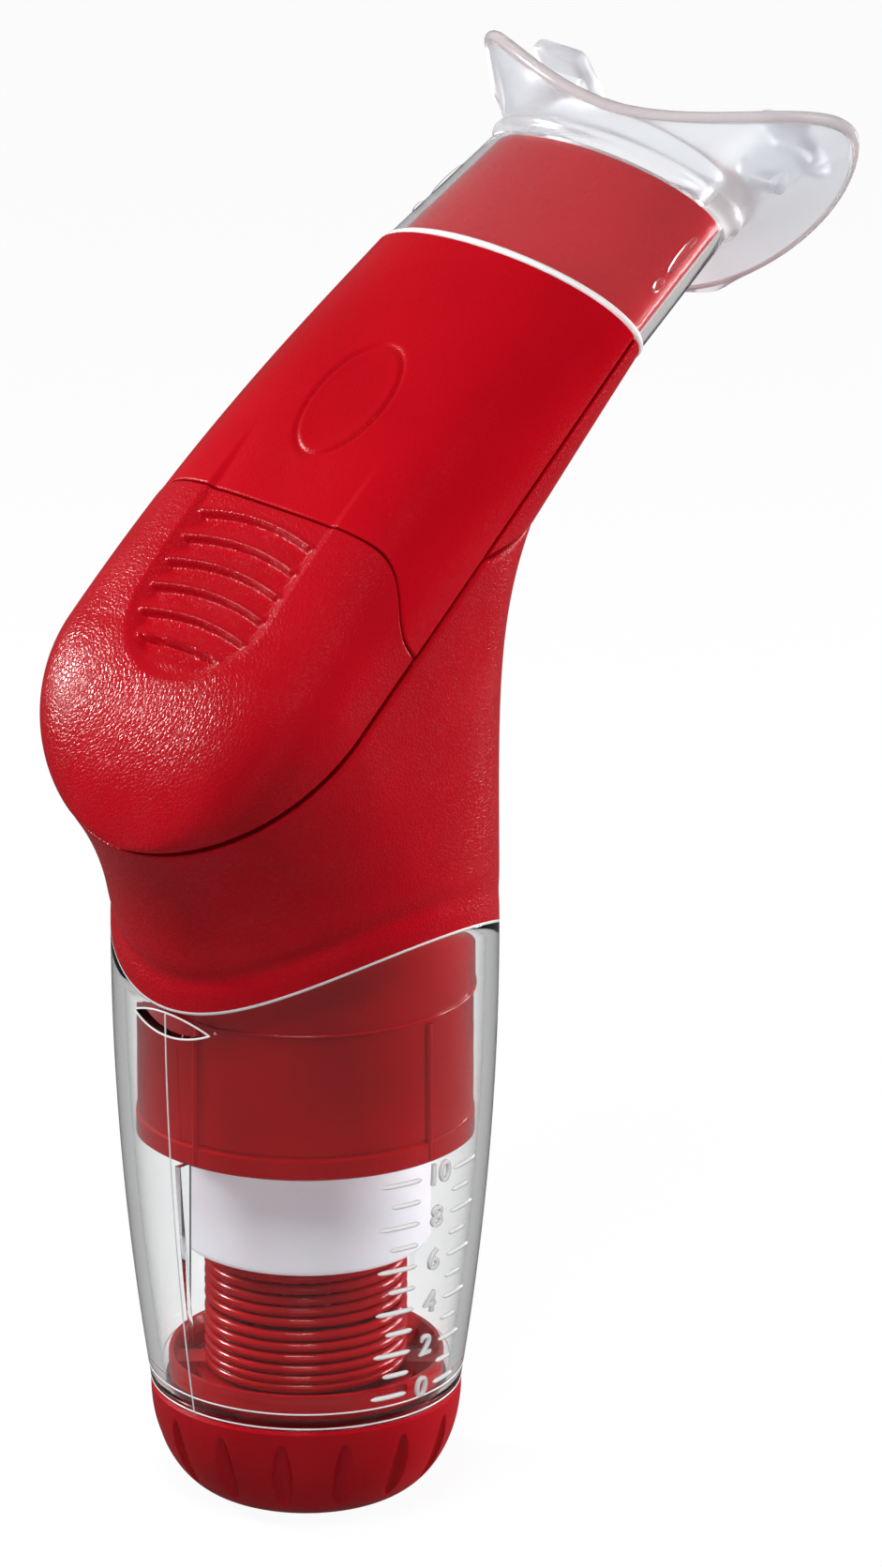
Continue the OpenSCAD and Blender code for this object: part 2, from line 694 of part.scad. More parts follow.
module mouth_neck() {
    difference() {
        translate([0, 0, port_l + skirt_gap])
            linear_extrude(height = neck_top_h - port_l - skirt_gap)
                oval(skirt_w * port_taper_share, skirt_t * port_taper_share);
        linear_extrude(height = flange_h + flange_t + flange_curl)
            oval(airway_w, airway_t);
    }
}

module mouthpiece() {
    color(clear)
        along_port() {
            skirt();
            mouth_neck();
            lip_flange();
            bite_block();
            mirror([0, 1, 0])
                bite_block();
        }
}

// Barrel: a bowed clear wall with a recessed floor, cut along the seam
barrel_steps = 14;
function barrel_side(inset, top, bottom) =
    [for (i = [0 : barrel_steps])
        let (z = mix(bottom, top, i / barrel_steps)) [barrel_at(z) - inset, z]];

module barrel_fill(inset) {
    rotate_extrude($fn = 144)
        polygon(concat([[0, barrel_z]], barrel_side(inset, seam_side_z, barrel_z),
                       [[0, seam_side_z]]));
}

module clear_barrel() {
    color(clear)
        difference() {
            intersection() {
                union() {
                    rotate_extrude($fn = 144)
                        polygon(concat(
                            barrel_side(0, seam_side_z, barrel_z),
                            [for (i = [barrel_steps : -1 : 0])
                                barrel_side(barrel_wall, seam_side_z, floor_top_z)[i]],
                            [[hub_r + run_gap, floor_top_z], [hub_r + run_gap, floor_z],
                             [neck_r, floor_z], [neck_r, barrel_z]]));
                    for (s = [0, 180])
                        rotate([0, 0, s])
                            intersection() {
                                translate([rib_r, -rib_t / 2, rib_z])
                                    cube([barrel_r - rib_r, rib_t, tube_z - slide_gap - rib_z]);
                                barrel_fill(barrel_wall / 2);
                            }
                }
                translate([0, 2 * barrel_r, seam_centre_z])
                    rotate([90, 0, 0])
                        cylinder(r = seam_r, h = 4 * barrel_r, $fn = 180);
            }
            inlet_cut();
        }
}

// Lens-shaped inlet, from two crossing rounds
module inlet_cut() {
    lens_r = (inlet_w * inlet_w / 4 + inlet_h * inlet_h / 4) / inlet_h;
    intersection() {
        translate([-barrel_r - over, 0, inlet_z + lens_r - inlet_h / 2])
            rotate([0, 90, 0])
                cylinder(r = lens_r, h = 2 * barrel_wall + over + inlet_h);
        translate([-barrel_r - over, 0, inlet_z - lens_r + inlet_h / 2])
            rotate([0, 90, 0])
                cylinder(r = lens_r, h = 2 * barrel_wall + over + inlet_h);
    }
}

module inner_tube() {
    color(dark_red)
        rotate_extrude()
            difference() {
                polygon([
                    [tube_bore, tube_z], [tube_r, tube_z], [tube_r, seat_z],
                    [tube_bore, seat_z], [tube_bore, seat_z - seat_t], [tube_bore, ledge_z],
                    [tube_bore - ledge_w, ledge_z], [tube_bore - ledge_w, ledge_z - ledge_h],
                    [tube_bore, ledge_z - ledge_h]]);
                translate([tube_r - seal_ring_d, seal_ring_z - seal_ring_d / 2])
                    square([seal_ring_d + over, seal_ring_d]);
            }
}

module tube_seal() {
    color(rubber_grey)
        rotate_extrude()
            translate([tube_r - seal_ring_d / 2, seal_ring_z])
                circle(d = seal_ring_d, $fn = 24);
}

module spring_sleeve() {
    flange_mid_r = (sleeve_r + tube_bore) / 2;
    corner_r = sleeve_wall / 2;
    color(milk)
        difference() {
            rotate_extrude()
                polygon(concat(
                    [[sleeve_bore, sleeve_z], [sleeve_r - corner_r, sleeve_z]],
                    [for (a = [-75 : 15 : 0])
                        [sleeve_r - corner_r + corner_r * cos(a),
                         sleeve_z + corner_r + corner_r * sin(a)]],
                    [[sleeve_r, ledge_z], [tube_bore, ledge_z],
                     [tube_bore, ledge_z + sleeve_plate_t],
                     [sleeve_r, ledge_z + sleeve_plate_t], [sleeve_r, sleeve_top_z],
                     [guide_r, sleeve_top_z], [guide_r, sleeve_top_z - sleeve_plate_t],
                     [sleeve_bore, sleeve_top_z - sleeve_plate_t]]));
            for (a = [0 : 360 / air_holes : 359])
                rotate([0, 0, a])
                    translate([flange_mid_r, 0, ledge_z - over])
                        cylinder(d = (tube_bore - sleeve_r) - 2 * ledge_w,
                                 h = sleeve_plate_t + 2 * over, $fn = 32);
            arm_sweep(slot_w, sleeve_z - over, slot_top_z - sleeve_z + over,
                      sleeve_r + slide_gap);
        }
}

// Bar across the axis, turned to lie along the view's left and right
module arm_sweep(w, z, h, reach) {
    rotate([0, 0, -45])
        translate([-reach, -w / 2, z])
            cube([2 * reach, w, h]);
}

module stem_guide() {
    color(milk)
        rotate_extrude()
            polygon([
                [spindle_r + run_gap, sleeve_top_z - guide_l],
                [guide_r, sleeve_top_z - guide_l], [guide_r, sleeve_top_z],
                [guide_flange_r, sleeve_top_z],
                [guide_flange_r, sleeve_top_z + guide_flange_t],
                [spindle_r + run_gap, sleeve_top_z + guide_flange_t]]);
}

module spring_washer() {
    color(steel)
        ring(spring_r + 2 * wire_d, spring_r - 3 * wire_d, spring_top_z, spring_washer_t);
}

module valve_seat() {
    color(milk)
        ring(tube_bore, seat_hole_r, seat_z - seat_t, seat_t);
}

module poppet() {
    color(milk) {
        difference() {
            union() {
                translate([0, 0, poppet_z])
                    cylinder(r = poppet_r, h = poppet_t);
                translate([0, 0, poppet_hub_z])
                    cylinder(r = poppet_hub_r, h = poppet_z - poppet_hub_z);
            }
            translate([0, 0, poppet_hub_z - over])
                cylinder(r = spindle_neck_r + run_gap,
                         h = poppet_top_z - poppet_hub_z + 2 * over, $fn = 48);
        }
    }
}

module poppet_seal() {
    color(rubber_grey)
        ring(poppet_r, seat_hole_r - seal_t, seat_z, seal_t);
}

module hexagon(af) {
    circle(d = af / cos(30), $fn = 6);
}

module spindle() {
    thread_z = hub_top_z + run_gap;
    neck_z = poppet_hub_z - end_gap;
    clip_z = poppet_top_z + end_gap;
    clip_bed_r = spindle_neck_r - clip_groove / 2;
    color(steel) {
        translate([0, 0, drive_z])
            linear_extrude(height = thread_z - drive_z)
                hexagon(drive_af);
        rotate_extrude($fn = 48)
            polygon([
                [0, thread_z], [spindle_r, thread_z], [spindle_r, neck_z],
                [spindle_neck_r, neck_z], [spindle_neck_r, clip_z], [clip_bed_r, clip_z],
                [clip_bed_r, clip_z + clip_t], [spindle_neck_r, clip_z + clip_t],
                [spindle_neck_r, clip_z + clip_t + spindle_tip],
                [0, clip_z + clip_t + spindle_tip]]);
    }
}

module spindle_clip() {
    color(steel)
        ring(2 * spindle_neck_r - clip_groove, spindle_neck_r - clip_groove / 2,
             poppet_top_z + end_gap, clip_t);
}

module load_nut() {
    foot_in = rim_r - rim_wall;
    color(red)
        difference() {
            union() {
                translate([0, 0, nut_z])
                    cylinder(r = nut_plate_r, h = nut_plate_t);
                translate([0, 0, nut_z])
                    cylinder(r = nut_hub_r, h = nut_hub_h);
                rotate_extrude($fn = 144)
                    polygon([
                        [foot_in, nut_z], [rim_r - rim_wall / 2, nut_z],
                        [rim_r, nut_z + rim_h / 3], [rim_r, nut_z + rim_h],
                        [rim_r - rim_wall / 2, nut_z + rim_h], [foot_in, nut_z + rim_h / 2]]);
                arm_sweep(arm_w, nut_z, arm_h, foot_in + rim_wall / 4);
                translate([-rim_wall / 2, -rim_r - rim_wall / 2, nut_z + rim_h - rim_wall])
                    cube([rim_wall, rim_wall, rim_wall]);
            }
            translate([0, 0, nut_z - over])
                cylinder(r = spindle_r + run_gap, h = nut_hub_h + 2 * over, $fn = 48);
        }
}

// Spring: one unbroken wire, with both ends turned square to what they bear on
wire_sides = 6;
turn_rings = 8;
coil_r = spring_r - wire_d / 2;
coil_z = spring_z + 2 * wire_d;
coil_top_z = spring_top_z - 2 * wire_d;
lead_in = asin(wire_d / coil_r);
function coil_point(a, z) = [coil_r * cos(a), coil_r * sin(a), z];
function end_bend(a, s, z) = [coil_r, s * wire_d * (1 - cos(a)), z + s * wire_d * (1 + sin(a))];
coil_rings = turns * turn_rings;
last_turn = 360 * turns;
spring_path = concat(
    [[coil_r, 0, spring_z]],
    [for (a = [0 : 45 : 45]) end_bend(a, 1, spring_z)],
    [for (i = [0 : coil_rings])
        coil_point(mix(lead_in, last_turn - lead_in, i / coil_rings),
                   mix(coil_z, coil_top_z, i / coil_rings))],
    [for (a = [45 : -45 : 0]) end_bend(a, -1, spring_top_z)],
    [[coil_r, 0, spring_top_z]]);

function unit(v) = v / norm(v);
function way(p, i) =
    i == 0 || i == len(p) - 1 ? [0, 0, 1] :
    unit(unit(p[i + 1] - p[i]) + unit(p[i] - p[i - 1]));
function radial(p) = unit([p[0], p[1], 0]);

module load_spring() {
    n = len(spring_path);
    function at(i, s) = i * wire_sides + s % wire_sides;
    points = [for (i = [0 : n - 1]) let (
            d = way(spring_path, i),
            out = unit(radial(spring_path[i]) - (radial(spring_path[i]) * d) * d),
            up = cross(d, out))
        for (s = [0 : wire_sides - 1])
            spring_path[i] + wire_d / 2 * (cos(60 * s) * out + sin(60 * s) * up)];
    color(red)
        polyhedron(
            points = points,
            faces = concat(
                [for (i = [0 : n - 2]) for (s = [0 : wire_sides - 1])
                    each quad(at(i, s), at(i + 1, s), at(i + 1, s + 1), at(i, s + 1))],
                [for (s = [1 : wire_sides - 2]) [at(0, 0), at(0, s), at(0, s + 1)]],
                [for (s = [1 : wire_sides - 2])
                    [at(n - 1, 0), at(n - 1, s + 1), at(n - 1, s)]]),
            convexity = 10);
}

// Least gap of the wire to its next turn, measured between points of the path
turn_gap = min([for (i = [0 : 4 : 8 * turn_rings])
    min([for (j = [i + turn_rings - 2 : i + turn_rings + 3])
        norm(spring_path[i + 3] - spring_path[j + 3])])]) - wire_d;
echo("least gap of the spring to itself", turn_gap);

// Knob: a bowl with scooped flutes, hollow round its hub
knob_steps = 10;
module knob_bowl() {
    outer = [for (i = [0 : knob_steps]) knob_point(quarter_turn * i / knob_steps, 0)];
    cup_z = shoulder_z;
    inner = [for (i = [2 : knob_steps - 3]) knob_point(quarter_turn * i / knob_steps, knob_wall)];
    rotate_extrude($fn = 144)
        polygon(concat(
            [[0, 0]], outer,
            [[neck_r + run_gap * 2, knob_h], [neck_r + run_gap * 2, floor_z - end_gap],
             [inner[len(inner) - 1][0], floor_z - end_gap]],
            [for (i = [len(inner) - 1 : -1 : 0]) inner[i]],
            [[shoulder_r, inner[0][1]], [shoulder_r, cup_z], [hub_r, cup_z],
             [hub_r, floor_top_z + end_gap], [hub_r - clip_groove, floor_top_z + end_gap],
             [hub_r - clip_groove, floor_top_z + end_gap + clip_t],
             [hub_r, floor_top_z + end_gap + clip_t], [hub_r, hub_top_z], [0, hub_top_z]]));
}

module knob() {
    middle = knob_point(50, 0);
    tilt = atan((knob_r - foot_r) * cos(50) / (knob_h * sin(50)));
    color(red)
        difference() {
            knob_bowl();
            for (k = [0 : flutes - 1])
                rotate([0, 0, k * 360 / flutes])
                    translate([middle[0], 0, middle[1]])
                        rotate([0, tilt, 0])
                            translate([flute_r - flute_depth, 0, -knob_h])
                                cylinder(r = flute_r, h = 2 * knob_h, $fn = 48);
            translate([0, 0, drive_z - over])
                linear_extrude(height = hub_top_z - drive_z + 2 * over)
                    hexagon(drive_af + 2 * drive_gap);
        }
}

module thrust_washer() {
    color(milk)
        ring(shoulder_r, hub_r, shoulder_z, washer_t);
}

module knob_clip() {
    color(steel)
        ring(hub_r + clip_groove * 2, hub_r - clip_groove, floor_top_z + end_gap, clip_t);
}

module exhale_seat() {
    color(milk)
        on_deck(exhale_h)
            difference() {
                union() {
                    cylinder(r = exhale_r, h = exhale_seat_t);
                    translate([0, 0, -deck_t])
                        cylinder(r = exhale_spigot_r, h = deck_t);
                    translate([exhale_r - 2 * ear_t, -ear_y - ear_t, 0])
                        cube([pin_x - exhale_r + 2 * ear_t + knuckle_r, 2 * (ear_y + ear_t),
                              pin_z - knuckle_r - slide_gap]);
                    for (s = [-1, 1])
                        translate([pin_x - knuckle_r, s * (ear_y + ear_t / 2) - ear_t / 2, 0])
                            cube([2 * knuckle_r, ear_t, pin_z + knuckle_r]);
                }
                translate([0, 0, -deck_t - over])
                    cylinder(r = exhale_hole_r, h = deck_t + exhale_seat_t + 2 * over);
                translate([pin_x, -2 * ear_y, pin_z])
                    rotate([-90, 0, 0])
                        cylinder(r = pin_r, h = 4 * ear_y, $fn = 32);
            }
}

module exhale_pin() {
    color(steel)
        on_deck(exhale_h)
            translate([pin_x, -ear_y - ear_t, pin_z])
                rotate([-90, 0, 0])
                    cylinder(r = pin_r, h = 2 * (ear_y + ear_t), $fn = 32);
}

module exhale_flap() {
    hinge_w = 2 * (ear_y - slide_gap);
    color(rubber_grey)
        on_deck(exhale_h)
            difference() {
                union() {
                    translate([0, 0, exhale_seat_t])
                        cylinder(r = flap_r, h = flap_t);
                    translate([flap_r - 2 * flap_t, -hinge_w / 2, exhale_seat_t])
                        cube([pin_x - flap_r + 2 * flap_t, hinge_w, flap_t]);
                    translate([pin_x, -hinge_w / 2, pin_z])
                        rotate([-90, 0, 0])
                            cylinder(r = knuckle_r, h = hinge_w, $fn = 48);
                }
                translate([pin_x, -hinge_w, pin_z])
                    rotate([-90, 0, 0])
                        cylinder(r = pin_r + run_gap, h = 2 * hinge_w, $fn = 32);
            }
}

main_body();
face_cover();
grip_cover();
mouth_port();
mouthpiece();
clear_barrel();
inner_tube();
tube_seal();
spring_sleeve();
stem_guide();
spring_washer();
valve_seat();
poppet();
poppet_seal();
spindle();
spindle_clip();
load_nut();
load_spring();
knob();
thrust_washer();
knob_clip();
exhale_seat();
exhale_pin();
exhale_flap();
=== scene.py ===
import math

import bmesh
import bpy
import numpy as np
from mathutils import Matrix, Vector


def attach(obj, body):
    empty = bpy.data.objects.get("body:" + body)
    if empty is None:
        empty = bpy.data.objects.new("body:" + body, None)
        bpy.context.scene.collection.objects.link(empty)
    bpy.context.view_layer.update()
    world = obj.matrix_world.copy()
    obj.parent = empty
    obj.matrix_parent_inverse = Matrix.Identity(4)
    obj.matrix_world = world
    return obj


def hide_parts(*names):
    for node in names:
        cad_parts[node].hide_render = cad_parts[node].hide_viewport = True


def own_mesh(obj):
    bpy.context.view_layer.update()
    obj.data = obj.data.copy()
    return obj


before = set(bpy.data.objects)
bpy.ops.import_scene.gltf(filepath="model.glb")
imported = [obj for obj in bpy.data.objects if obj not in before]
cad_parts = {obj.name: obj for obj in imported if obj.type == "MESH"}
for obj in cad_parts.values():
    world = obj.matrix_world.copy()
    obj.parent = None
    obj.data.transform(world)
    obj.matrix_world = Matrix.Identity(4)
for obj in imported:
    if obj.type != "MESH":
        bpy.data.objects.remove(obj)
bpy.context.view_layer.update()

MM = 0.001

# Sizes of the CAD model, in millimetres
# Barrel: widest radius, foot, wall, floor, seam, air inlet and inner ribs
BARREL_R, BARREL_WIDE_Z, BARREL_BOW_R = 23.6, 73.0, 375.0
BARREL_Z, BARREL_WALL, FLOOR_T, NECK_H = 13.9, 1.6, 1.2, 1.7
SEAM_SIDE_Z, SEAM_DIP = 77.6, 9.2
INLET_Z, INLET_W, INLET_H = 66.1, 13.0, 3.0
RIB_REACH, RIB_T, RIB_Z = 3.4, 0.9, 23.0

# Inner tube, sleeve, nut, spring and their travel
TUBE_GAP, TUBE_WALL, TUBE_Z, LEDGE_Z, SEAT_Z = 0.43, 1.5, 47.5, 51.0, 91.0
NUT_Z, RIM_GAP, RIM_WALL, SLEEVE_WALL = 14.5, 0.5, 1.2, 1.5
SLIDE_GAP, RUN_GAP, END_GAP = 0.3, 0.05, 0.04
WIRE_D, TURNS, SPRING_GAP = 0.72, 46, 1.7
SPRING_Z, SPRING_TOP_Z = 15.6, 82.7

# Knob: bowl, flutes, hub and drive socket
KNOB_STEP, FOOT_R, KNOB_H = 0.05, 10.0, 13.6
FLUTES, FLUTE_DEPTH = 15, 0.8
HUB_R, SHOULDER_R, HUB_TOP_Z, RIM_LAND = 6.0, 9.2, 14.4, 1.5
DRIVE_AF, DRIVE_Z = 5.16, 4.5

# Handle: leans, sections at the ring and at the dome, walls, and the line between the covers
HANDLE_LEAN, PORT_LEAN = math.radians(51), math.radians(60)
HANDLE_X, HANDLE_Z = -2.7, 114.1
RING_H, DOME_H, TIP_R = 48.2, 13.5, 23.4
DOME_STEP, RING_STEP, PORT_STEP = 0.6, 1.1, 1.6
RING_T, DOME_T, MID_BULGE, TIP_FALL = 8.8, 11.8, 2.4, 1.7
RING_SQUARE, DOME_SQUARE = 2.1, 3.9
UNDER_T, SHELL_WALL, DECK_T = 12.0, 1.8, 1.8
PART_RISE, PART_DROP, PART_FLAT, LINE_GAP, COVER_GAP = 7.3, 1.0, 13, 0.25, 0.12
EXHALE_H, EXHALE_HOLE_R = -14.0, 6.8

# Thumb pad, its crests and scoops
PAD_W, PAD_DEPTH, PAD_TOP_H, PAD_FADE, PAD_LOW_H = 10.8, 0.5, 17.0, 10.0, -8.0
CREST_H, CRESTS, CREST_PITCH, CREST_ARCH, CREST_LAND = 3.9, 6, 3.6, 1.05, 1.8
SCOOP_DEPTH, SCOOP_L, SCOOP_WALL = 0.6, 2.9, 0.6

# Port and mouthpiece
PORT_L, PORT_T, PORT_TAPER, PORT_WALL = 19.8, 7.4, 0.915, 2.0
SKIRT_GAP, SKIRT_WALL = 0.2, 1.2
AIRWAY_W, AIRWAY_T, FLANGE_H, FLANGE_T = 14.0, 5.5, 24.6, 1.8
BITE_L, BITE_W, BITE_T = 8.5, 9.0, 2.4


def barrel_at(z):
    return BARREL_R - np.maximum(0, BARREL_WIDE_Z - np.asarray(z, float)) ** 2 / (2 * BARREL_BOW_R)


DOME_W = BARREL_R - DOME_STEP
RING_W = DOME_W - RING_STEP
PORT_W = RING_W - PORT_STEP
TUBE_R = float(barrel_at(TUBE_Z)) - BARREL_WALL - TUBE_GAP
TUBE_BORE = TUBE_R - TUBE_WALL
RIM_R = float(barrel_at(NUT_Z)) - BARREL_WALL - RIM_GAP
SLEEVE_R = RIM_R - RIM_WALL - SLIDE_GAP
SPRING_R = SLEEVE_R - SLEEVE_WALL - SPRING_GAP
KNOB_R = float(barrel_at(BARREL_Z)) + KNOB_STEP
NECK_R = KNOB_R - RIM_LAND
SEAM_R = (BARREL_R ** 2 + SEAM_DIP ** 2) / (2 * SEAM_DIP)
SEAM_CENTRE_Z = SEAM_SIDE_Z - SEAM_R
FLOOR_Z = BARREL_Z - NECK_H
FLOOR_TOP_Z = FLOOR_Z + FLOOR_T
SKIRT_W = PORT_W + SKIRT_GAP + SKIRT_WALL
SKIRT_T = PORT_T + SKIRT_GAP + SKIRT_WALL


# Small helpers
def smooth(x):
    x = np.clip(x, 0, 1)
    return x * x * (3 - 2 * x)


def mix(a, b, f):
    return a + (b - a) * f


def full_turn(steps):
    return np.linspace(0, 2 * math.pi, steps, endpoint=False)


def spread(*values):
    """Arrays of one common shape."""
    return np.broadcast_arrays(*(np.asarray(v, float) for v in values))


def round_point(turn, r, z):
    """Points round the barrel's axis, from a turn in radians, a radius and a height."""
    turn, r, z = spread(turn, r, z)
    return np.stack([r * np.cos(turn), r * np.sin(turn), z], -1)


def grid_faces(rows, cols, wrap_rows=False, wrap_cols=False, flip=False, start=0):
    out = []
    for r in range(rows if wrap_rows else rows - 1):
        for c in range(cols if wrap_cols else cols - 1):
            r2, c2 = (r + 1) % rows, (c + 1) % cols
            q = [start + r * cols + c, start + r * cols + c2,
                 start + r2 * cols + c2, start + r2 * cols + c]
            out.append(q[::-1] if flip else q)
    return out


def linked(name, data):
    ob = bpy.data.objects.new(name, data)
    bpy.context.scene.collection.objects.link(ob)
    return ob


def new_object(name, verts, faces, sharp=35, weld=1e-4):
    """A mesh object from points in millimetres."""
    me = bpy.data.meshes.new(name)
    me.from_pydata([tuple(v) for v in np.asarray(verts, float) * MM], [], faces)
    bm = bmesh.new()
    bm.from_mesh(me)
    bmesh.ops.remove_doubles(bm, verts=bm.verts, dist=weld * MM)
    bmesh.ops.dissolve_degenerate(bm, edges=bm.edges, dist=weld * MM)
    bmesh.ops.recalc_face_normals(bm, faces=bm.faces)
    bm.to_mesh(me)
    bm.free()
    ob = linked(name, me)
    shade(ob, sharp)
    return ob


def prism(name, ends):
    """Solid between two equal closed outlines."""
    count = len(ends[0])
    caps = [list(range(count)), list(range(count, 2 * count))[::-1]]
    return new_object(name, np.concatenate(ends), grid_faces(2, count, False, True) + caps)


def shade(ob, sharp):
    ob.data.shade_smooth()
    ob.data.set_sharp_from_angle(angle=math.radians(sharp))


def look(ob, mat):
    ob.data.materials.clear()
    ob.data.materials.append(mat)


def place(ob, body, mat, replaces=()):
    look(ob, mat)
    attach(ob, body)
    if replaces:
        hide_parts(*replaces)


def cut(ob, tools, op="DIFFERENCE", sharp=35):
    for t in tools:
        m = ob.modifiers.new("cut", "BOOLEAN")
        m.operation, m.solver, m.object = op, "EXACT", t
    bpy.context.view_layer.update()
    me = bpy.data.meshes.new_from_object(ob.evaluated_get(bpy.context.evaluated_depsgraph_get()))
    ob.modifiers.clear()
    old, ob.data = ob.data, me
    me.name = ob.name
    bpy.data.meshes.remove(old)
    shade(ob, sharp)
    for t in tools:
        bpy.data.objects.remove(t)
    return ob


def lathe(name, profile, steps=192, sharp=35, closed=True):
    """Turns a closed outline of (radius, height) round the barrel's axis."""
    p = np.asarray(profile, float)
    v = round_point(full_turn(steps)[:, None], p[:, 0], p[:, 1]).reshape(-1, 3)
    return new_object(name, v, grid_faces(steps, len(p), True, closed), sharp)


def tube(name, path, radius, sides=10, closed=False, sharp=60):
    """A round bar along a path of points; radius may be one for each point."""
    p = np.asarray(path, float)
    n = len(p)
    d = np.roll(p, -1, 0) - np.roll(p, 1, 0) if closed else np.gradient(p, axis=0)
    d /= np.linalg.norm(d, axis=1)[:, None]
    up = np.zeros_like(p)
    ref = np.array([0, 0, 1.0]) if abs(d[0][2]) < 0.9 else np.array([1.0, 0, 0])
    for i in range(n):
        ref = ref - d[i] * (ref @ d[i])
        ref /= np.linalg.norm(ref)
        up[i] = ref
    side = np.cross(d, up)
    a = full_turn(sides)[:, None]
    out = np.cos(a) * up[:, None] + np.sin(a) * side[:, None]
    v = p[:, None] + np.broadcast_to(radius, n)[:, None, None] * out
    faces = grid_faces(n, sides, closed, True)
    if not closed:
        faces += [list(range(sides))[::-1], [(n - 1) * sides + k for k in range(sides)]]
    return new_object(name, v.reshape(-1, 3), faces, sharp)


# The handle's frame: h up the lean, l to the scale's side, n off the parting plane
def handle_point(h, l, n):
    h, l, n = spread(h, l, n)
    lean = mix(HANDLE_LEAN, PORT_LEAN, np.clip(h / RING_H, 0, 1))
    return np.stack([HANDLE_X + h * math.sin(HANDLE_LEAN) - n * np.cos(lean), -l,
                     HANDLE_Z + h * math.cos(HANDLE_LEAN) + n * np.sin(lean)], -1)


def taper_at(h):
    return np.clip((RING_H - h) / (RING_H + DOME_H), 0, 1)


def half_w(h):
    return mix(RING_W, DOME_W, taper_at(h))


def cover_t(h):
    t = taper_at(h)
    return mix(RING_T, DOME_T, t) + 4 * MID_BULGE * t * (1 - t)


def square_at(h):
    return mix(RING_SQUARE, DOME_SQUARE, taper_at(h))


def section(theta, p):
    """Unit superellipse of power p at an even polar angle: shares of the half axes."""
    c, s = np.cos(theta), np.sin(theta)
    k = (np.abs(c) ** p + np.abs(s) ** p) ** (-1 / p)
    return c * k, s * k


def part_line(theta):
    """Height of the line between the covers at a polar angle of the section."""
    share = section(theta, square_at(PART_RISE))[0]
    return PART_RISE * (1 - np.abs(share) ** PART_FLAT) - PART_DROP


R0 = np.array([HANDLE_X + RING_H * math.sin(HANDLE_LEAN), 0, HANDLE_Z + RING_H * math.cos(HANDLE_LEAN)])


def port_point(x, y, m):
    """x down off the port's axis, y across (the scale is at -y), m out along the port."""
    x, y, m = spread(x, y, m)
    c, s = math.cos(PORT_LEAN), math.sin(PORT_LEAN)
    return np.stack([R0[0] + x * c + m * s, y, R0[2] - x * s + m * c], -1)


# Materials
# Bump depths in metres, and the warp and edge of the grain's cells as shares
SKIN_DEPTH, SKIN_SHARE, GRAIN_DEPTH = 0.00004, 0.35, 0.00005
WARP_SHARE, GRAIN_EDGE_SHARE, COAT_ROUGH = 0.0003, 0.22, 0.22


def nodes_of(name):
    mat = bpy.data.materials.new(name)
    mat.use_nodes = True
    nt = mat.node_tree
    return mat, nt, nt.nodes["Principled BSDF"]


def feed(nt, node, inputs):
    """Gives a node's inputs their plain values, or the sockets that lead to them."""
    for spot, value in inputs.items():
        if isinstance(value, bpy.types.NodeSocket):
            nt.links.new(value, node.inputs[spot])
        else:
            node.inputs[spot].default_value = value


def add(nt, kind, inputs=(), **settings):
    node = nt.nodes.new(kind)
    for name, value in settings.items():
        setattr(node, name, value)
    feed(nt, node, dict(inputs))
    return node


def maths(nt, operation, *values):
    return add(nt, "ShaderNodeMath", enumerate(values), operation=operation).outputs[0]


def shader_mix(nt, *values):
    return add(nt, "ShaderNodeMixShader", enumerate(values)).outputs[0]


def coords(nt, scale=(1, 1, 1)):
    spot = add(nt, "ShaderNodeTexCoord").outputs["Object"]
    return add(nt, "ShaderNodeMapping", {"Vector": spot, "Scale": scale}).outputs["Vector"]


def noise(nt, vector, scale, detail=3.0, rough=0.5):
    """Noise of scale waves to a metre."""
    inputs = {"Vector": vector, "Scale": scale, "Detail": detail, "Roughness": rough}
    return add(nt, "ShaderNodeTexNoise", inputs).outputs["Fac"]


def span(nt, value, low, high, from_low=0.35, from_high=0.65):
    inputs = {"Value": value, "From Min": from_low, "From Max": from_high, "To Min": low, "To Max": high}
    return add(nt, "ShaderNodeMapRange", inputs).outputs["Result"]


def darker(colour, share):
    return tuple(share * c for c in colour)


def set_colour(nt, b, share, low, high):
    n = add(nt, "ShaderNodeMix", {0: share, 6: (*low, 1), 7: (*high, 1)}, data_type="RGBA")
    nt.links.new(n.outputs[2], b.inputs["Base Color"])


def set_rough(nt, b, share, low, high):
    nt.links.new(span(nt, share, low, high), b.inputs["Roughness"])


def bump(nt, b, height, strength, distance, before=None):
    n = add(nt, "ShaderNodeBump", {"Height": height, "Strength": strength, "Distance": distance})
    if before is not None:
        nt.links.new(before, n.inputs["Normal"])
    nt.links.new(n.outputs["Normal"], b.inputs["Normal"])
    return n.outputs["Normal"]


def wrinkles(nt, vector, size):
    """Leather-like grain: the edges of cells of a size in metres, warped by noise."""
    warp = add(nt, "ShaderNodeTexNoise", {"Vector": vector, "Scale": 0.6 / size, "Detail": 2.0})
    mixed = add(nt, "ShaderNodeMix", {0: WARP_SHARE, 4: vector, 5: warp.outputs["Color"]},
                data_type="VECTOR")
    cells = add(nt, "ShaderNodeTexVoronoi", {"Vector": mixed.outputs[1], "Scale": 1 / size},
                feature="DISTANCE_TO_EDGE")
    return span(nt, cells.outputs["Distance"], 0, 1, 0.0, GRAIN_EDGE_SHARE)


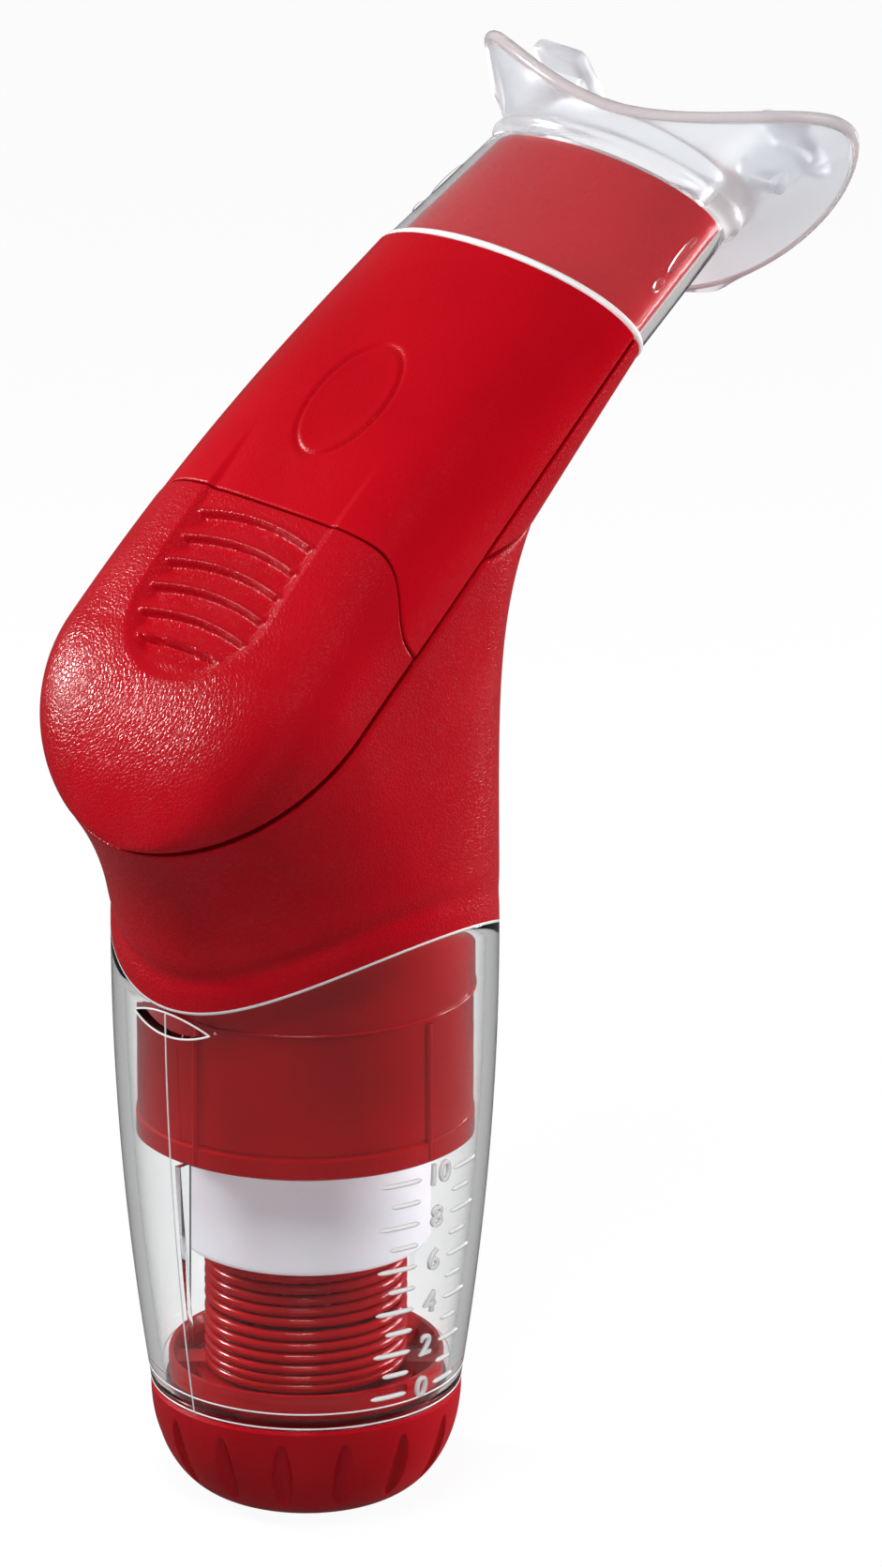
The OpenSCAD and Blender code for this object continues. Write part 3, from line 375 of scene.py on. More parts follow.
def moulded(name, colour, dark, rough, strength, grain=0, coat=0.0, gloss=0.3):
    """Moulded plastic with a spark-eroded grain, small colour drift and handling wear in its gloss."""
    mat, nt, b = nodes_of(name)
    v = coords(nt)
    set_colour(nt, b, span(nt, noise(nt, v, 45), 0, 1), dark, colour)
    set_rough(nt, b, noise(nt, v, 160, 4, 0.6), rough - 0.04, rough + 0.05)
    feed(nt, b, {"Specular IOR Level": gloss, "Coat Weight": coat, "Coat Roughness": COAT_ROUGH})
    normal = bump(nt, b, noise(nt, v, 2600, 2, 0.6), SKIN_SHARE * strength, SKIN_DEPTH)
    if grain:
        bump(nt, b, wrinkles(nt, v, grain), strength, GRAIN_DEPTH, normal)
    return mat


def clear_plastic(name, tint, rough, ior, weight=1.0, ripple=0.02, haze=0.0):
    """Clear plastic. Light falls through its wall on what is inside, as it does through thin plastic."""
    mat, nt, b = nodes_of(name)
    v = coords(nt)
    feed(nt, b, {"Base Color": (*tint, 1), "IOR": ior, "Transmission Weight": weight})
    set_colour(nt, b, span(nt, noise(nt, v, 70, 2), 0, 1), darker(tint, 0.97), tint)
    set_rough(nt, b, noise(nt, v, 220), rough, rough + 0.03 + haze)
    bump(nt, b, noise(nt, v, 90, 2), ripple, 0.001)
    path = add(nt, "ShaderNodeLightPath")
    either = maths(nt, "MAXIMUM", path.outputs["Is Shadow Ray"], path.outputs["Is Diffuse Ray"])
    through = add(nt, "ShaderNodeBsdfTransparent", {"Color": (*tint, 1)})
    both = shader_mix(nt, either, b.outputs[0], through.outputs[0])
    nt.links.new(both, nt.nodes["Material Output"].inputs["Surface"])
    return mat


def frost_flange(mat, low, high, thin, thick):
    """Frosts the silicone where the skirt ends and the thick flange starts, low to high along the port."""
    nt = mat.node_tree
    b = nt.nodes["Principled BSDF"]
    way = np.array([math.sin(PORT_LEAN), 0, math.cos(PORT_LEAN)])
    inputs = {0: coords(nt), 1: tuple(way)}
    along = add(nt, "ShaderNodeVectorMath", inputs, operation="DOT_PRODUCT").outputs["Value"]
    start = float(way @ R0)
    reach = ((start + low) * MM, (start + high) * MM)
    feed(nt, b, {"Roughness": span(nt, along, 0.05, 0.30, *reach),
                 "Transmission Weight": span(nt, along, 0.99, 0.80, *reach)})
    set_colour(nt, b, span(nt, along, 0, 1, *reach), thin, thick)


def dark_edges(mat, middle, edge):
    """Painted shade: small clear bars get a darker colour where their sides turn away, for the dark edges
    thick clear plastic shows.
    """
    nt = mat.node_tree
    turn = add(nt, "ShaderNodeLayerWeight", {"Blend": 0.4})
    set_colour(nt, nt.nodes["Principled BSDF"], turn.outputs["Facing"], middle, edge)


def milky(name, colour):
    """Milky plastic with a painted glow: faint emission that stands in for the light coming through its
    wall.
    """
    mat, nt, b = nodes_of(name)
    v = coords(nt)
    set_colour(nt, b, span(nt, noise(nt, v, 60, 2), 0, 1), darker(colour, 0.95), colour)
    set_rough(nt, b, noise(nt, v, 300), 0.30, 0.38)
    bump(nt, b, noise(nt, v, 1800, 2), 0.08, GRAIN_DEPTH)
    # Painted light: this faint pinkish emission makes the part glow as if lit through its wall
    feed(nt, b, {"Subsurface Weight": 0.7, "Subsurface Radius": (0.004, 0.002, 0.002),
                 "Subsurface Scale": 1.0, "Emission Color": (1.0, 0.84, 0.93, 1),
                 "Emission Strength": 0.13})
    return mat


def metal(name, colour, rough):
    """Turned metal, its noise drawn out into rings round the axis."""
    mat, nt, b = nodes_of(name)
    v = coords(nt, (1, 1, 40))
    set_rough(nt, b, noise(nt, v, 400), rough - 0.06, rough + 0.08)
    set_colour(nt, b, noise(nt, v, 90, 2), darker(colour, 0.9), colour)
    feed(nt, b, {"Metallic": 1.0})
    return mat


def rubber(name, colour):
    mat, nt, b = nodes_of(name)
    v = coords(nt)
    set_colour(nt, b, noise(nt, v, 120), darker(colour, 0.8), colour)
    set_rough(nt, b, noise(nt, v, 500), 0.5, 0.62)
    bump(nt, b, noise(nt, v, 2500, 2), 0.2, GRAIN_DEPTH)
    return mat


red_satin = moulded("red_satin", (0.47, 0.0015, 0.009), (0.40, 0.001, 0.007), rough=0.25, strength=0.55,
                    grain=0.00055, gloss=0.23)
red_smooth = moulded("red_smooth", (0.49, 0.0015, 0.009), (0.43, 0.001, 0.007), rough=0.27, strength=0.24,
                     grain=0.00045, gloss=0.14)
red_knob = moulded("red_knob", (0.46, 0.002, 0.009), (0.39, 0.0015, 0.007), rough=0.33, strength=0.18,
                   grain=0.0005, gloss=0.2)
red_part = moulded("red_part", (0.52, 0.0015, 0.006), (0.44, 0.001, 0.005), rough=0.2, strength=0.15,
                   coat=0.2)
red_clear = moulded("red_clear", (0.47, 0.001, 0.005), (0.35, 0.001, 0.003), rough=0.14, strength=0.08,
                    coat=0.2, gloss=0.2)
spring_coat = moulded("spring_coat", (0.52, 0.0015, 0.006), (0.42, 0.001, 0.005), rough=0.16, strength=0.05,
                      coat=0.2, gloss=0.25)
acrylic = clear_plastic("acrylic", (0.98, 0.987, 0.99), rough=0.01, ior=1.29)
silicone = clear_plastic("silicone", (0.985, 0.987, 0.99), rough=0.04, ior=1.30, weight=0.99, ripple=0.04,
                         haze=0.03)
silicone_rim = clear_plastic("silicone_rim", (0.76, 0.70, 0.70), rough=0.12, ior=1.40, weight=0.6,
                             ripple=0.04, haze=0.05)
# Painted highlight: a whitish, mostly opaque material for thin lines along clear edges and seams, standing
# in for their glints
white_painted_glint = clear_plastic("white_painted_glint", (0.96, 0.965, 0.97), rough=0.16, ior=1.45, weight=0.25)
scale_clear = clear_plastic("scale_clear", (0.97, 0.98, 0.985), rough=0.04, ior=1.46, weight=0.3)
milk = milky("milk", (0.97, 0.86, 0.92))
steel = metal("steel", (0.55, 0.56, 0.58), 0.3)
seal_black = rubber("seal_black", (0.03, 0.03, 0.033))
frost_flange(silicone, PORT_L - 0.5, PORT_L + 2.5, (0.985, 0.987, 0.99), (0.83, 0.85, 0.89))
# Painted shade on the scale's bars: darker towards their turned-away sides
dark_edges(scale_clear, (1.0, 1.0, 1.0), (0.10, 0.10, 0.11))


# Covers: thin shells with a thumb pad, finger scoops and a plain oval line
EDGE_R, SIDE_R, RELIEF_RISE = 0.28, 1.1, 3.0
PAD_EDGE, PAD_LOW_EDGE, PAD_LOW_RUN, PAD_START_SHARE = 0.9, 1.6, 6.0, 0.3
SHOWN_DEPTH, SCOOP_RUN = 1.2 * SCOOP_DEPTH, SCOOP_L - 0.3
CREST_INSET, CREST_RUN, CREST_START_SHARE = 1.0, 0.8, 0.4
LIP_DEPTH, LIP_RISE, LIP_W = 0.34, 0.24, 0.30
OVAL_H, OVAL_HALF_H, OVAL_HALF_L, OVAL_DEPTH, OVAL_RUN_SHARE = 22.4, 8.4, 5.6, 0.10, 0.35
OVAL_LINE_DEPTH, OVAL_LINE_SHARE = 0.30, 0.045
COVER_COLS, FACE_ROWS, GRIP_ROWS, TIP_ROWS = 300, 170, 130, 110
EDGE_SHARES = 0.5 * np.array([0, 0.03, 0.08, 0.16, 0.3])


def fillet(d, r):
    """How far a rounded edge of radius r falls in at a distance d from the edge."""
    d = np.clip(d, 0, r)
    return r - np.sqrt(np.maximum(0, r * r - (r - d) ** 2))


def relief(h, l):
    """Depth of the thumb pad and of the six scoops under arched crests."""
    edge = PAD_W - np.hypot(l, np.maximum(0, PAD_LOW_H - h))
    low = smooth((PAD_LOW_H - h) / PAD_LOW_RUN)
    rise = smooth(edge / mix(PAD_EDGE, PAD_LOW_EDGE, low) + PAD_START_SHARE)
    out = PAD_DEPTH * rise * (1 - smooth((h - PAD_TOP_H + PAD_FADE) / PAD_FADE))
    side = smooth((edge - CREST_INSET) / CREST_RUN + CREST_START_SHARE)
    arch = CREST_ARCH * np.minimum(1, (l / (PAD_W - CREST_LAND)) ** 2)
    for i in range(CRESTS):
        drop = CREST_H - i * CREST_PITCH - arch - h
        down = smooth(drop / (0.7 * SCOOP_WALL)) * (1 - smooth((drop - 0.8 * SCOOP_WALL) / SCOOP_RUN))
        lip = np.exp(-((drop + LIP_RISE) / LIP_W) ** 2)
        out = out + side * (SHOWN_DEPTH * down - LIP_DEPTH * lip)
    return out


def oval(h, l):
    """Depth of the plain oval line on the face cover, and of the shallow dish inside it."""
    q = np.sqrt(((h - OVAL_H) / OVAL_HALF_H) ** 2 + (l / OVAL_HALF_L) ** 2)
    line = OVAL_LINE_DEPTH * np.exp(-((q - 1) / OVAL_LINE_SHARE) ** 2)
    return line + OVAL_DEPTH * smooth((1 - q) / OVAL_RUN_SHARE)


def end_share(h):
    """Share of the section that is left towards the dome's tip."""
    return np.sqrt(1 - np.clip((-DOME_H - h) / TIP_R, 0, 1) ** 2)


def cover_point(h, theta, inset, lift):
    end = end_share(h)
    c, s = section(theta, square_at(h))
    deep = np.where(h < -DOME_H, mix(-DOME_H, h, 1 - inset / TIP_R), h)
    p = handle_point(deep, (half_w(h) - inset) * end * c, (cover_t(h) - inset) * end ** TIP_FALL * s)
    return p + lift * np.array([-math.cos(HANDLE_LEAN), 0, math.sin(HANDLE_LEAN)])


def cover_shell(name, h, theta, edge_d, marks, lift, pointed):
    """Shell over a grid of heights; edge_d is each point's distance to the shell's upper or lower edge."""
    end = end_share(h)
    c, s = section(theta, square_at(h))
    n = cover_t(h) * end ** TIP_FALL * s
    l = half_w(h) * end * c
    round_in = fillet(edge_d, EDGE_R) + fillet(n, SIDE_R) * end
    outer = cover_point(h, theta, round_in + marks(h, l) * smooth(n / RELIEF_RISE), lift)
    inner = cover_point(h, theta, np.full(h.shape, SHELL_WALL), lift)
    rows, cols = h.shape
    half = rows * cols
    faces = grid_faces(rows, cols) + grid_faces(rows, cols, flip=True, start=half)
    ends = [(r * cols + k, 1) for r in ([0] if pointed else [0, rows - 1]) for k in range(cols - 1)]
    sides = [(r * cols + k, cols) for k in (0, cols - 1) for r in range(rows - 1)]
    faces += [[i, i + step, i + step + half, i + half] for i, step in ends + sides]
    return new_object(name, np.concatenate([outer.reshape(-1, 3), inner.reshape(-1, 3)]), faces, 50)


def row_shares(finer, rows):
    """Shares of the way from a cover's edge, close together over the edge's rounding."""
    return np.concatenate([EDGE_SHARES / finer, np.linspace(0.25 / finer, 1, rows)])[:, None]


def build_covers():
    theta = np.linspace(math.pi, 0, COVER_COLS)[None, :]
    line = part_line(theta)
    h = mix(line + LINE_GAP / 2, RING_H, row_shares(20, FACE_ROWS))
    face = cover_shell("face_shell", h, theta, h - h[0], lambda a, b: relief(a, b) + oval(a, b), 0, False)
    place(face, "housing", red_smooth, ["face_cover"])
    upper = mix(line - LINE_GAP / 2, -DOME_H, row_shares(10, GRIP_ROWS))
    turn = np.linspace(0, math.pi / 2, TIP_ROWS)[1:, None]
    lower = np.broadcast_to(-DOME_H - TIP_R * np.sin(turn), (len(turn), upper.shape[1]))
    h = np.concatenate([upper, lower])
    grip = cover_shell("grip_shell", h, theta, h[0] - h, relief, COVER_GAP, True)
    place(grip, "grip", red_satin, ["grip_cover"])


build_covers()


# Body: a smooth skin from the covers' outline down to the barrel's seam
DOME_STEPS, LEG_STEPS, UNDER_STEPS = 9, 6, 10
CORNER = DOME_STEPS + LEG_STEPS
COLUMNS = CORNER + UNDER_STEPS
DOME_TURN, LEG_TURN, START_TURN = 80, 118, 45
SIDE_H, CROTCH_H = 14.0, 34.0
FINE, SKIN_ROWS, NECK_STEPS = 5, 90, 24
PULL_SHARE, UNDER_PULL_SHARE, UNDER_RISE_SHARE = 0.36, 0.15, 0.7
CREASE_DEPTH, CREASE_UP, CREASE_W, TOP_R = 0.50, 3.9, 1.4, 0.8
SKIN_LOW_Z, BORE_LOW_Z, BORE_OVER, HOLE_OVER = 55.0, 30.0, 20.0, 1.0
SADDLE_REACH, SADDLE_STEPS, CHANNEL_STEPS, HOLE_STEPS = 40.0, 720, 160, 96


def under_of(k):
    return math.radians(90 * (k - CORNER) / UNDER_STEPS)


def edge_place(k):
    """Column k of the skin: its height, half width, turn at the seam, start angle and bend under."""
    if k <= DOME_STEPS:
        a = math.radians(90 * (1 - k / DOME_STEPS))
        return -DOME_H - TIP_R * math.sin(a), DOME_W * math.cos(a), DOME_TURN * k / DOME_STEPS, 0.0, 0.0
    if k <= CORNER:
        f = (k - DOME_STEPS) / LEG_STEPS
        h = mix(-DOME_H, SIDE_H, f)
        return h, float(half_w(h)), mix(DOME_TURN, LEG_TURN, f), START_TURN * f ** 1.5, 0.0
    u = under_of(k)
    h = mix(SIDE_H, CROTCH_H, math.sin(u))
    turn = mix(LEG_TURN, 180, (k - CORNER) / UNDER_STEPS)
    return h, None, turn, START_TURN * (1 + math.sin(u)), math.sin(u)


def under_point(k, h):
    u = under_of(k)
    depth = mix(RING_T, UNDER_T, np.clip(2 * (RING_H - h) / RING_H, 0, 1))
    return handle_point(h, half_w(h) * math.cos(u), -depth * math.sin(u))


def seam_z(x):
    return SEAM_CENTRE_Z + np.sqrt(SEAM_R ** 2 - np.asarray(x, float) ** 2)


def skin_column(k, shares):
    """Points of column k, on a curve that leaves the covers' edge and meets the seam upright."""
    h, l, turn, start, bend = edge_place(k)
    a = under_point(k, h) if l is None else handle_point(h, l, 0)
    turn, start = math.radians(turn), math.radians(start)
    x = -BARREL_R * math.cos(turn)
    d = np.array([x, -BARREL_R * math.sin(turn), float(seam_z(x))])
    reach = np.linalg.norm(d - a)
    way = HANDLE_LEAN + start
    b = a + reach * mix(PULL_SHARE, UNDER_PULL_SHARE, bend) * np.array([math.cos(way), 0, -math.sin(way)])
    e = d + np.array([0, 0, reach * mix(PULL_SHARE, UNDER_RISE_SHARE, bend)])
    t = shares[:, None]
    p = (1 - t) ** 3 * a + 3 * t * (1 - t) ** 2 * b + 3 * t * t * (1 - t) * e + t ** 3 * d
    out = np.array([p[:, 0], p[:, 1], 0 * p[:, 0]]).T
    out /= np.maximum(np.linalg.norm(out, axis=1), 1e-6)[:, None]
    crease = -CREASE_DEPTH * np.exp(-((p[:, 2] - d[2] - CREASE_UP) / CREASE_W) ** 2)
    front = smooth((math.cos(turn) + 0.3) / 0.6) * 0.8 + 0.2
    top = fillet(np.linalg.norm(p - a, axis=1), TOP_R) * (1 - bend)
    return p + out * (crease * front - top)[:, None]


def body_mesh():
    """The skin's columns, mirrored and joined round, with the neck's under side grown from their tops."""
    ks = np.arange(0, COLUMNS + 1e-9, 1 / FINE)
    shares = np.linspace(0, 1, SKIN_ROWS)
    shares = np.concatenate([shares[:1], [0.002, 0.005], shares[1:]])
    rows = len(shares) + 1
    half = [skin_column(k, shares) for k in ks]
    half = [np.vstack([col, [*col[-1][:2], SKIN_LOW_Z]]) for col in half]
    cols = half + [c * [1, -1, 1] for c in half[-2:0:-1]]
    around = len(cols)
    skin = np.array(cols).reshape(-1, 3)
    last, first = around - CORNER * FINE, CORNER * FINE
    neck = []
    for k in range(first, last + 1):
        source, side = (ks[k], 1) if k < len(ks) else (ks[around - k], -1)
        low = edge_place(source)[0]
        for i in range(1, NECK_STEPS + 1):
            neck.append(under_point(source, mix(low, RING_H, i / NECK_STEPS)) * [1, side, 1])
    base = around * rows

    def skin_at(k, j):
        return (k % around) * rows + j

    def neck_at(k, i):
        return skin_at(k, 0) if i == 0 else base + (k - first) * NECK_STEPS + i - 1

    def quad(at, k, j):
        return [at(k, j), at(k + 1, j), at(k + 1, j + 1), at(k, j + 1)]

    faces = [quad(skin_at, k, j) for k in range(around) for j in range(rows - 1)]
    faces += [quad(neck_at, k, i)[::-1] for k in range(first, last) for i in range(NECK_STEPS)]
    faces.append([skin_at(k, 0) for k in range(around - 1, last - 1, -1)]
                 + [neck_at(last, i) for i in range(1, NECK_STEPS + 1)]
                 + [neck_at(first, i) for i in range(NECK_STEPS, 0, -1)]
                 + [skin_at(k, 0) for k in range(first, -1, -1)])
    faces.append([neck_at(k, NECK_STEPS) for k in range(last, first - 1, -1)])
    faces.append([skin_at(k, rows - 1) for k in range(around)])
    return new_object("body_shell", np.concatenate([skin, np.array(neck).reshape(-1, 3)]), faces, 32)


def build_body():
    """The skin, cut by the seam, the tube's bore, the channel under the covers and the exhale hole."""
    a = full_turn(SADDLE_STEPS)
    x, z = SEAM_R * np.cos(a), SEAM_CENTRE_Z + SEAM_R * np.sin(a)
    saddle = prism("saddle", [np.stack([x, 0 * a + y, z], -1) for y in (-SADDLE_REACH, SADDLE_REACH)])
    low, high = BORE_LOW_Z, HANDLE_Z + BORE_OVER
    bore = lathe("bore", [(0, low), (TUBE_R, low), (TUBE_R, high), (0, high)], 128, closed=False)
    cut(bore, [under_box(DECK_T, 4 * BARREL_R)], "INTERSECT")
    w, t = float(half_w(0)) - 1.5 * SHELL_WALL, RING_T - SHELL_WALL
    channel = prism("channel", [[deck_point(t * math.cos(q), w * math.sin(q), z)
                                 for q in full_turn(CHANNEL_STEPS)]
                                for z in (PART_RISE / 2, RING_H + PART_RISE)])
    r = EXHALE_HOLE_R
    hole = prism("hole", [[deck_point(x, r * math.sin(q), EXHALE_H + r * math.cos(q))
                           for q in full_turn(HOLE_STEPS)] for x in (DECK_T + HOLE_OVER, -HOLE_OVER)])
    body = cut(body_mesh(), [saddle, bore, channel, hole], sharp=32)
    place(body, "housing", red_satin, ["main_body"])


def under_box(low, size):
    """Everything more than low under the parting plane."""
    ends = (-size, size)
    corners = [deck_point(x, y, z) for x in (low, low + size) for y in ends for z in ends]
    faces = [[0, 1, 3, 2], [4, 6, 7, 5], [0, 4, 5, 1], [2, 3, 7, 6], [0, 2, 6, 4], [1, 5, 7, 3]]
    return new_object("under", corners, faces)


def deck_point(x, y, z):
    """Point x under the parting plane, y across and z up the handle."""
    c, s = math.cos(HANDLE_LEAN), math.sin(HANDLE_LEAN)
    return np.array([HANDLE_X + x * c + z * s, y, HANDLE_Z - x * s + z * c])


build_body()


# Mouth port and mouthpiece, in the port's frame
def ellipse(a, w, t):
    return np.stack([-t * np.sin(a), w * np.cos(a)], -1)


def port_taper(m):
    return 1 - (1 - PORT_TAPER) * np.clip(m, 0, PORT_L) / PORT_L


def loft(name, rings, sharp=40):
    """Closed loft round the port's axis: rings of (x, y, m) grids, wrapped both ways."""
    p = np.array(rings)
    rows, cols = p.shape[:2]
    v = port_point(p[..., 0], p[..., 1], p[..., 2]).reshape(-1, 3)
    return new_object(name, v, grid_faces(rows, cols, True, True), sharp)


def at_height(xy, m):
    """Ring of x, y and m, from one height or one for each point."""
    return np.concatenate([xy, np.broadcast_to(np.reshape(m, (-1, 1)), (len(xy), 1))], 1)


def tapered(a, w, t, m):
    return at_height(ellipse(a, w * port_taper(m), t * port_taper(m)), m)


PORT_COLS, PORT_EDGE_R, PORT_FOOT, PLUG_STEP_W, PLUG_STEP_T = 220, 0.3, 2.9, 1.0, 1.2


def build_port():
    a = full_turn(PORT_COLS)
    k = port_taper(PORT_L)
    rings = [tapered(a, PORT_W, PORT_T, m) for m in np.linspace(0, PORT_L - PORT_EDGE_R, 12)]
    rings += [at_height(ellipse(a, PORT_W * k - inset, PORT_T * k - inset), PORT_L - drop)
              for inset, drop in ((0.3 * PORT_EDGE_R, 0.3 * PORT_EDGE_R), (PORT_EDGE_R, 0))]
    rings += [tapered(a, PORT_W - PORT_WALL, PORT_T - PORT_WALL, m)
              for m in np.linspace(PORT_L, -PORT_FOOT, 10)]
    plug = ellipse(a, PORT_W - PLUG_STEP_W, PORT_T - PLUG_STEP_T)
    rings += [at_height(plug, m) for m in (-PORT_FOOT, 0)]
    place(loft("port_shell", rings), "housing", red_smooth, ["mouth_port"])


# The flange's edge: its reaches, its rise to both ends, and how it sits a little askew
FLANGE_EDGE_H, FLANGE_UP, FLANGE_DOWN, FLANGE_W, FLANGE_POWER = 22.86, 10.0, 14.3, 28.3, 0.95
FLANGE_CURL, FLANGE_CURVE, FLANGE_TILT, FLANGE_SKEW = 10.5, 1.82, 0.29, 2.69
FLANGE_SHIFT, FLANGE_BOW, FLANGE_TWIST = 2.26, 5.0, math.radians(-3.2)
FLANGE_EDGE_T, FLANGE_CURVE_IN = 1.5, 1.6

# The fold to each end, the roll round the neck, and the skirt
FOLD_DEPTH, FOLD_W, FOLD_START, FOLD_RUN = 0.5, 1.1, 16.0, 4.0
ROLL_R, ROLL_M, ROLL_W, ROLL_START_SHARE = 0.7, 21.4, 1.1, 0.1
NECK_CURVE, NECK_SHARE, SHELL_COLS = 0.85, 0.35, 240
SKIRT_END, SKIRT_IN_END, NECK_STEP, AIRWAY_STEP, AIRWAY_FOOT = 0.35, 0.25, 0.2, 0.6, 0.3
SHELL_INSET, BEAD_INSET, BEAD_LIFT, THIN_R, THICK_R = 0.2, 0.3, 0.8, 0.34, 0.8
SKIRT_BEAD_R, SKIRT_BEAD_M = 0.5, 0.62
SKIRT_RIBS = ((9.4, 15.6), (6.2, 8.4))


def flange_edge(a, shrink=0.0):
    """Edge of the flange: x and y across the port, and m along it, a little askew as it is pushed on."""
    c, s = np.cos(a), np.sin(a)
    reach = np.where(s > 0, FLANGE_UP, FLANGE_DOWN) - shrink
    x = -reach * np.sign(s) * np.abs(s) ** FLANGE_POWER
    y = (FLANGE_W - shrink) * np.sign(c) * np.abs(c) ** FLANGE_POWER
    share = y / FLANGE_W
    m = FLANGE_EDGE_H + FLANGE_CURL * np.abs(share) ** FLANGE_CURVE - FLANGE_TILT * x - FLANGE_SKEW * share
    x = x + FLANGE_SHIFT - FLANGE_BOW * share ** 2
    c, s = math.cos(FLANGE_TWIST), math.sin(FLANGE_TWIST)
    return np.stack([x * c + y * s, y * c - x * s, m], -1)


def flange_back(neck, edge):
    """Rings of the back face: the neck turns out into the flange, with a roll and a fold to each end."""
    foot = PORT_L + SKIRT_GAP + NECK_STEP
    even = neck / np.array([SKIRT_T, SKIRT_W])
    out = even / np.linalg.norm(even, axis=1)[:, None]
    rings = []
    for f in np.linspace(0, 1, 40)[1:]:
        g, e = 1 - math.cos(f * math.pi / 2), math.sin(f * math.pi / 2)
        xy = mix(neck, edge[:, :2], g)
        m = mix(foot, edge[:, 2], e ** NECK_CURVE * mix(1, g, NECK_SHARE))
        roll = ROLL_R * np.exp(-((m - ROLL_M) / ROLL_W) ** 2) * smooth(f / ROLL_START_SHARE)
        xy = xy + out * roll[:, None]
        fold = np.exp(-(np.abs(xy[:, 0]) / FOLD_W)) * smooth((np.abs(xy[:, 1]) - FOLD_START) / FOLD_RUN)
        rings.append(at_height(xy, m - FOLD_DEPTH * fold))
    return rings


def build_shell():
    """Skirt, neck and flange as one closed wall, out along its back and in again to the airway."""
    a = full_turn(SHELL_COLS)
    k = float(port_taper(PORT_L))
    edge = flange_edge(a, SHELL_INSET)
    hole = ellipse(a, AIRWAY_W, AIRWAY_T)
    rings = [tapered(a, SKIRT_W, SKIRT_T, m) for m in np.linspace(SKIRT_END, PORT_L, 10)]
    rings += flange_back(ellipse(a, SKIRT_W * k, SKIRT_T * k), edge)
    for f in np.linspace(1, 0, 24):
        m = mix(FLANGE_H, edge[:, 2], f ** FLANGE_CURVE_IN) + mix(FLANGE_T, FLANGE_EDGE_T, f)
        rings.append(at_height(mix(hole, edge[:, :2], f), m))
    airway_low = PORT_L + SKIRT_GAP
    rings += [at_height(hole, m) for m in np.linspace(FLANGE_H + AIRWAY_STEP, airway_low + AIRWAY_FOOT, 6)]
    rings += [tapered(a, PORT_W + SKIRT_GAP, PORT_T + SKIRT_GAP, m)
              for m in np.linspace(airway_low, SKIRT_IN_END, 10)]
    place(loft("mouthpiece_shell", rings, 50), "mouth", silicone, ["mouthpiece"])


def build_mouthpiece():
    build_shell()
    b = full_turn(260)
    e = flange_edge(b, BEAD_INSET)
    path = port_point(e[:, 0], e[:, 1], e[:, 2] + BEAD_LIFT)
    thick = mix(THIN_R, THICK_R, smooth(0.5 + 1.5 * np.sin(b)))
    place(tube("flange_rim", path, thick, 14, True), "mouth", silicone_rim)
    # The skirt's lower edge bead is real; its whitish material is a painted highlight for the white look of
    # the thick edge
    e = ellipse(b, SKIRT_W - BEAD_INSET, SKIRT_T - BEAD_INSET)
    path = port_point(e[:, 0], e[:, 1], SKIRT_BEAD_M)
    place(tube("skirt_bead", path, SKIRT_BEAD_R, 12, True), "mouth", white_painted_glint)
    for side, word in ((-1, "near"), (1, "far")):
        place(bite_block(f"bite_block_{word}", side), "mouth", silicone)
        for i, (low, high) in enumerate(SKIRT_RIBS):
            rib = skirt_rib(f"skirt_rib_{word}_{i + 1}", side, low, high)
            place(rib, "mouth", silicone)


def rounded_box(name, low, high, radius, side, steps=10):
    """Box in the port's frame with all its edges rounded, mirrored to one side."""
    low, high = np.array(low, float), np.array(high, float)
    mid, half = (low + high) / 2, (high - low) / 2
    core = half - radius
    t = np.linspace(-1, 1, steps)
    t = np.sign(t) * (1 - (1 - np.abs(t)) ** 1.6)
    u, w = np.meshgrid(t, t, indexing="ij")
    points, faces = [], []
    for axis in range(3):
        for way in (-1, 1):
            p = np.zeros((steps, steps, 3))
            p[..., axis] = way
            p[..., (axis + 1) % 3], p[..., (axis + 2) % 3] = u, w
            p = p * half
            inner = np.clip(p, -core, core)
            d = p - inner
            d /= np.maximum(np.linalg.norm(d, axis=-1, keepdims=True), 1e-9)
            faces += grid_faces(steps, steps, start=len(points))
            points += list((inner + d * radius + mid).reshape(-1, 3))
    p = np.array(points)
    return new_object(name, port_point(p[:, 0], side * p[:, 1], p[:, 2]), faces, 60, 1e-3)


BITE_OUT, BITE_ROOT, BITE_CAP_SHARE = 1.0, 2.6, 1.8
WEB_IN, WEB_R, CAP_IN, CAP_R = 0.4, 0.6, 0.8, 1.1


def bite_block(name, side):
    """T-shaped tab that the teeth hold, rounded all over."""
    near, far = AIRWAY_W + BITE_OUT, AIRWAY_W + BITE_OUT + BITE_W - CAP_IN
    top = FLANGE_H + FLANGE_T / 2 + BITE_L + FLANGE_T
    wide = BITE_CAP_SHARE * BITE_T
    web = rounded_box(name, (-BITE_T / 2, near + WEB_IN, FLANGE_H + BITE_ROOT),
                      (BITE_T / 2, far - WEB_IN, top - BITE_T / 2), WEB_R, side)
    cap = rounded_box(name + "_cap", (-wide, near, top - BITE_T), (wide, far, top), CAP_R, side)
    return cut(web, [cap], "UNION", 60)


RIB_ANGLE, RIB_THIN_R, RIB_SWELL, RIB_STEPS = math.radians(14), 0.15, 0.45, 16


def skirt_rib(name, side, low, high):
    """Short raised rib along the skirt's side."""
    m = np.linspace(low, high, RIB_STEPS)
    k = port_taper(m)
    path = port_point(-SKIRT_T * k * math.sin(RIB_ANGLE), side * SKIRT_W * k * math.cos(RIB_ANGLE), m)
    swell = np.sin(np.linspace(0, math.pi, RIB_STEPS)) ** 0.5
    return tube(name, path, RIB_THIN_R + RIB_SWELL * swell, 10)


build_port()
build_mouthpiece()
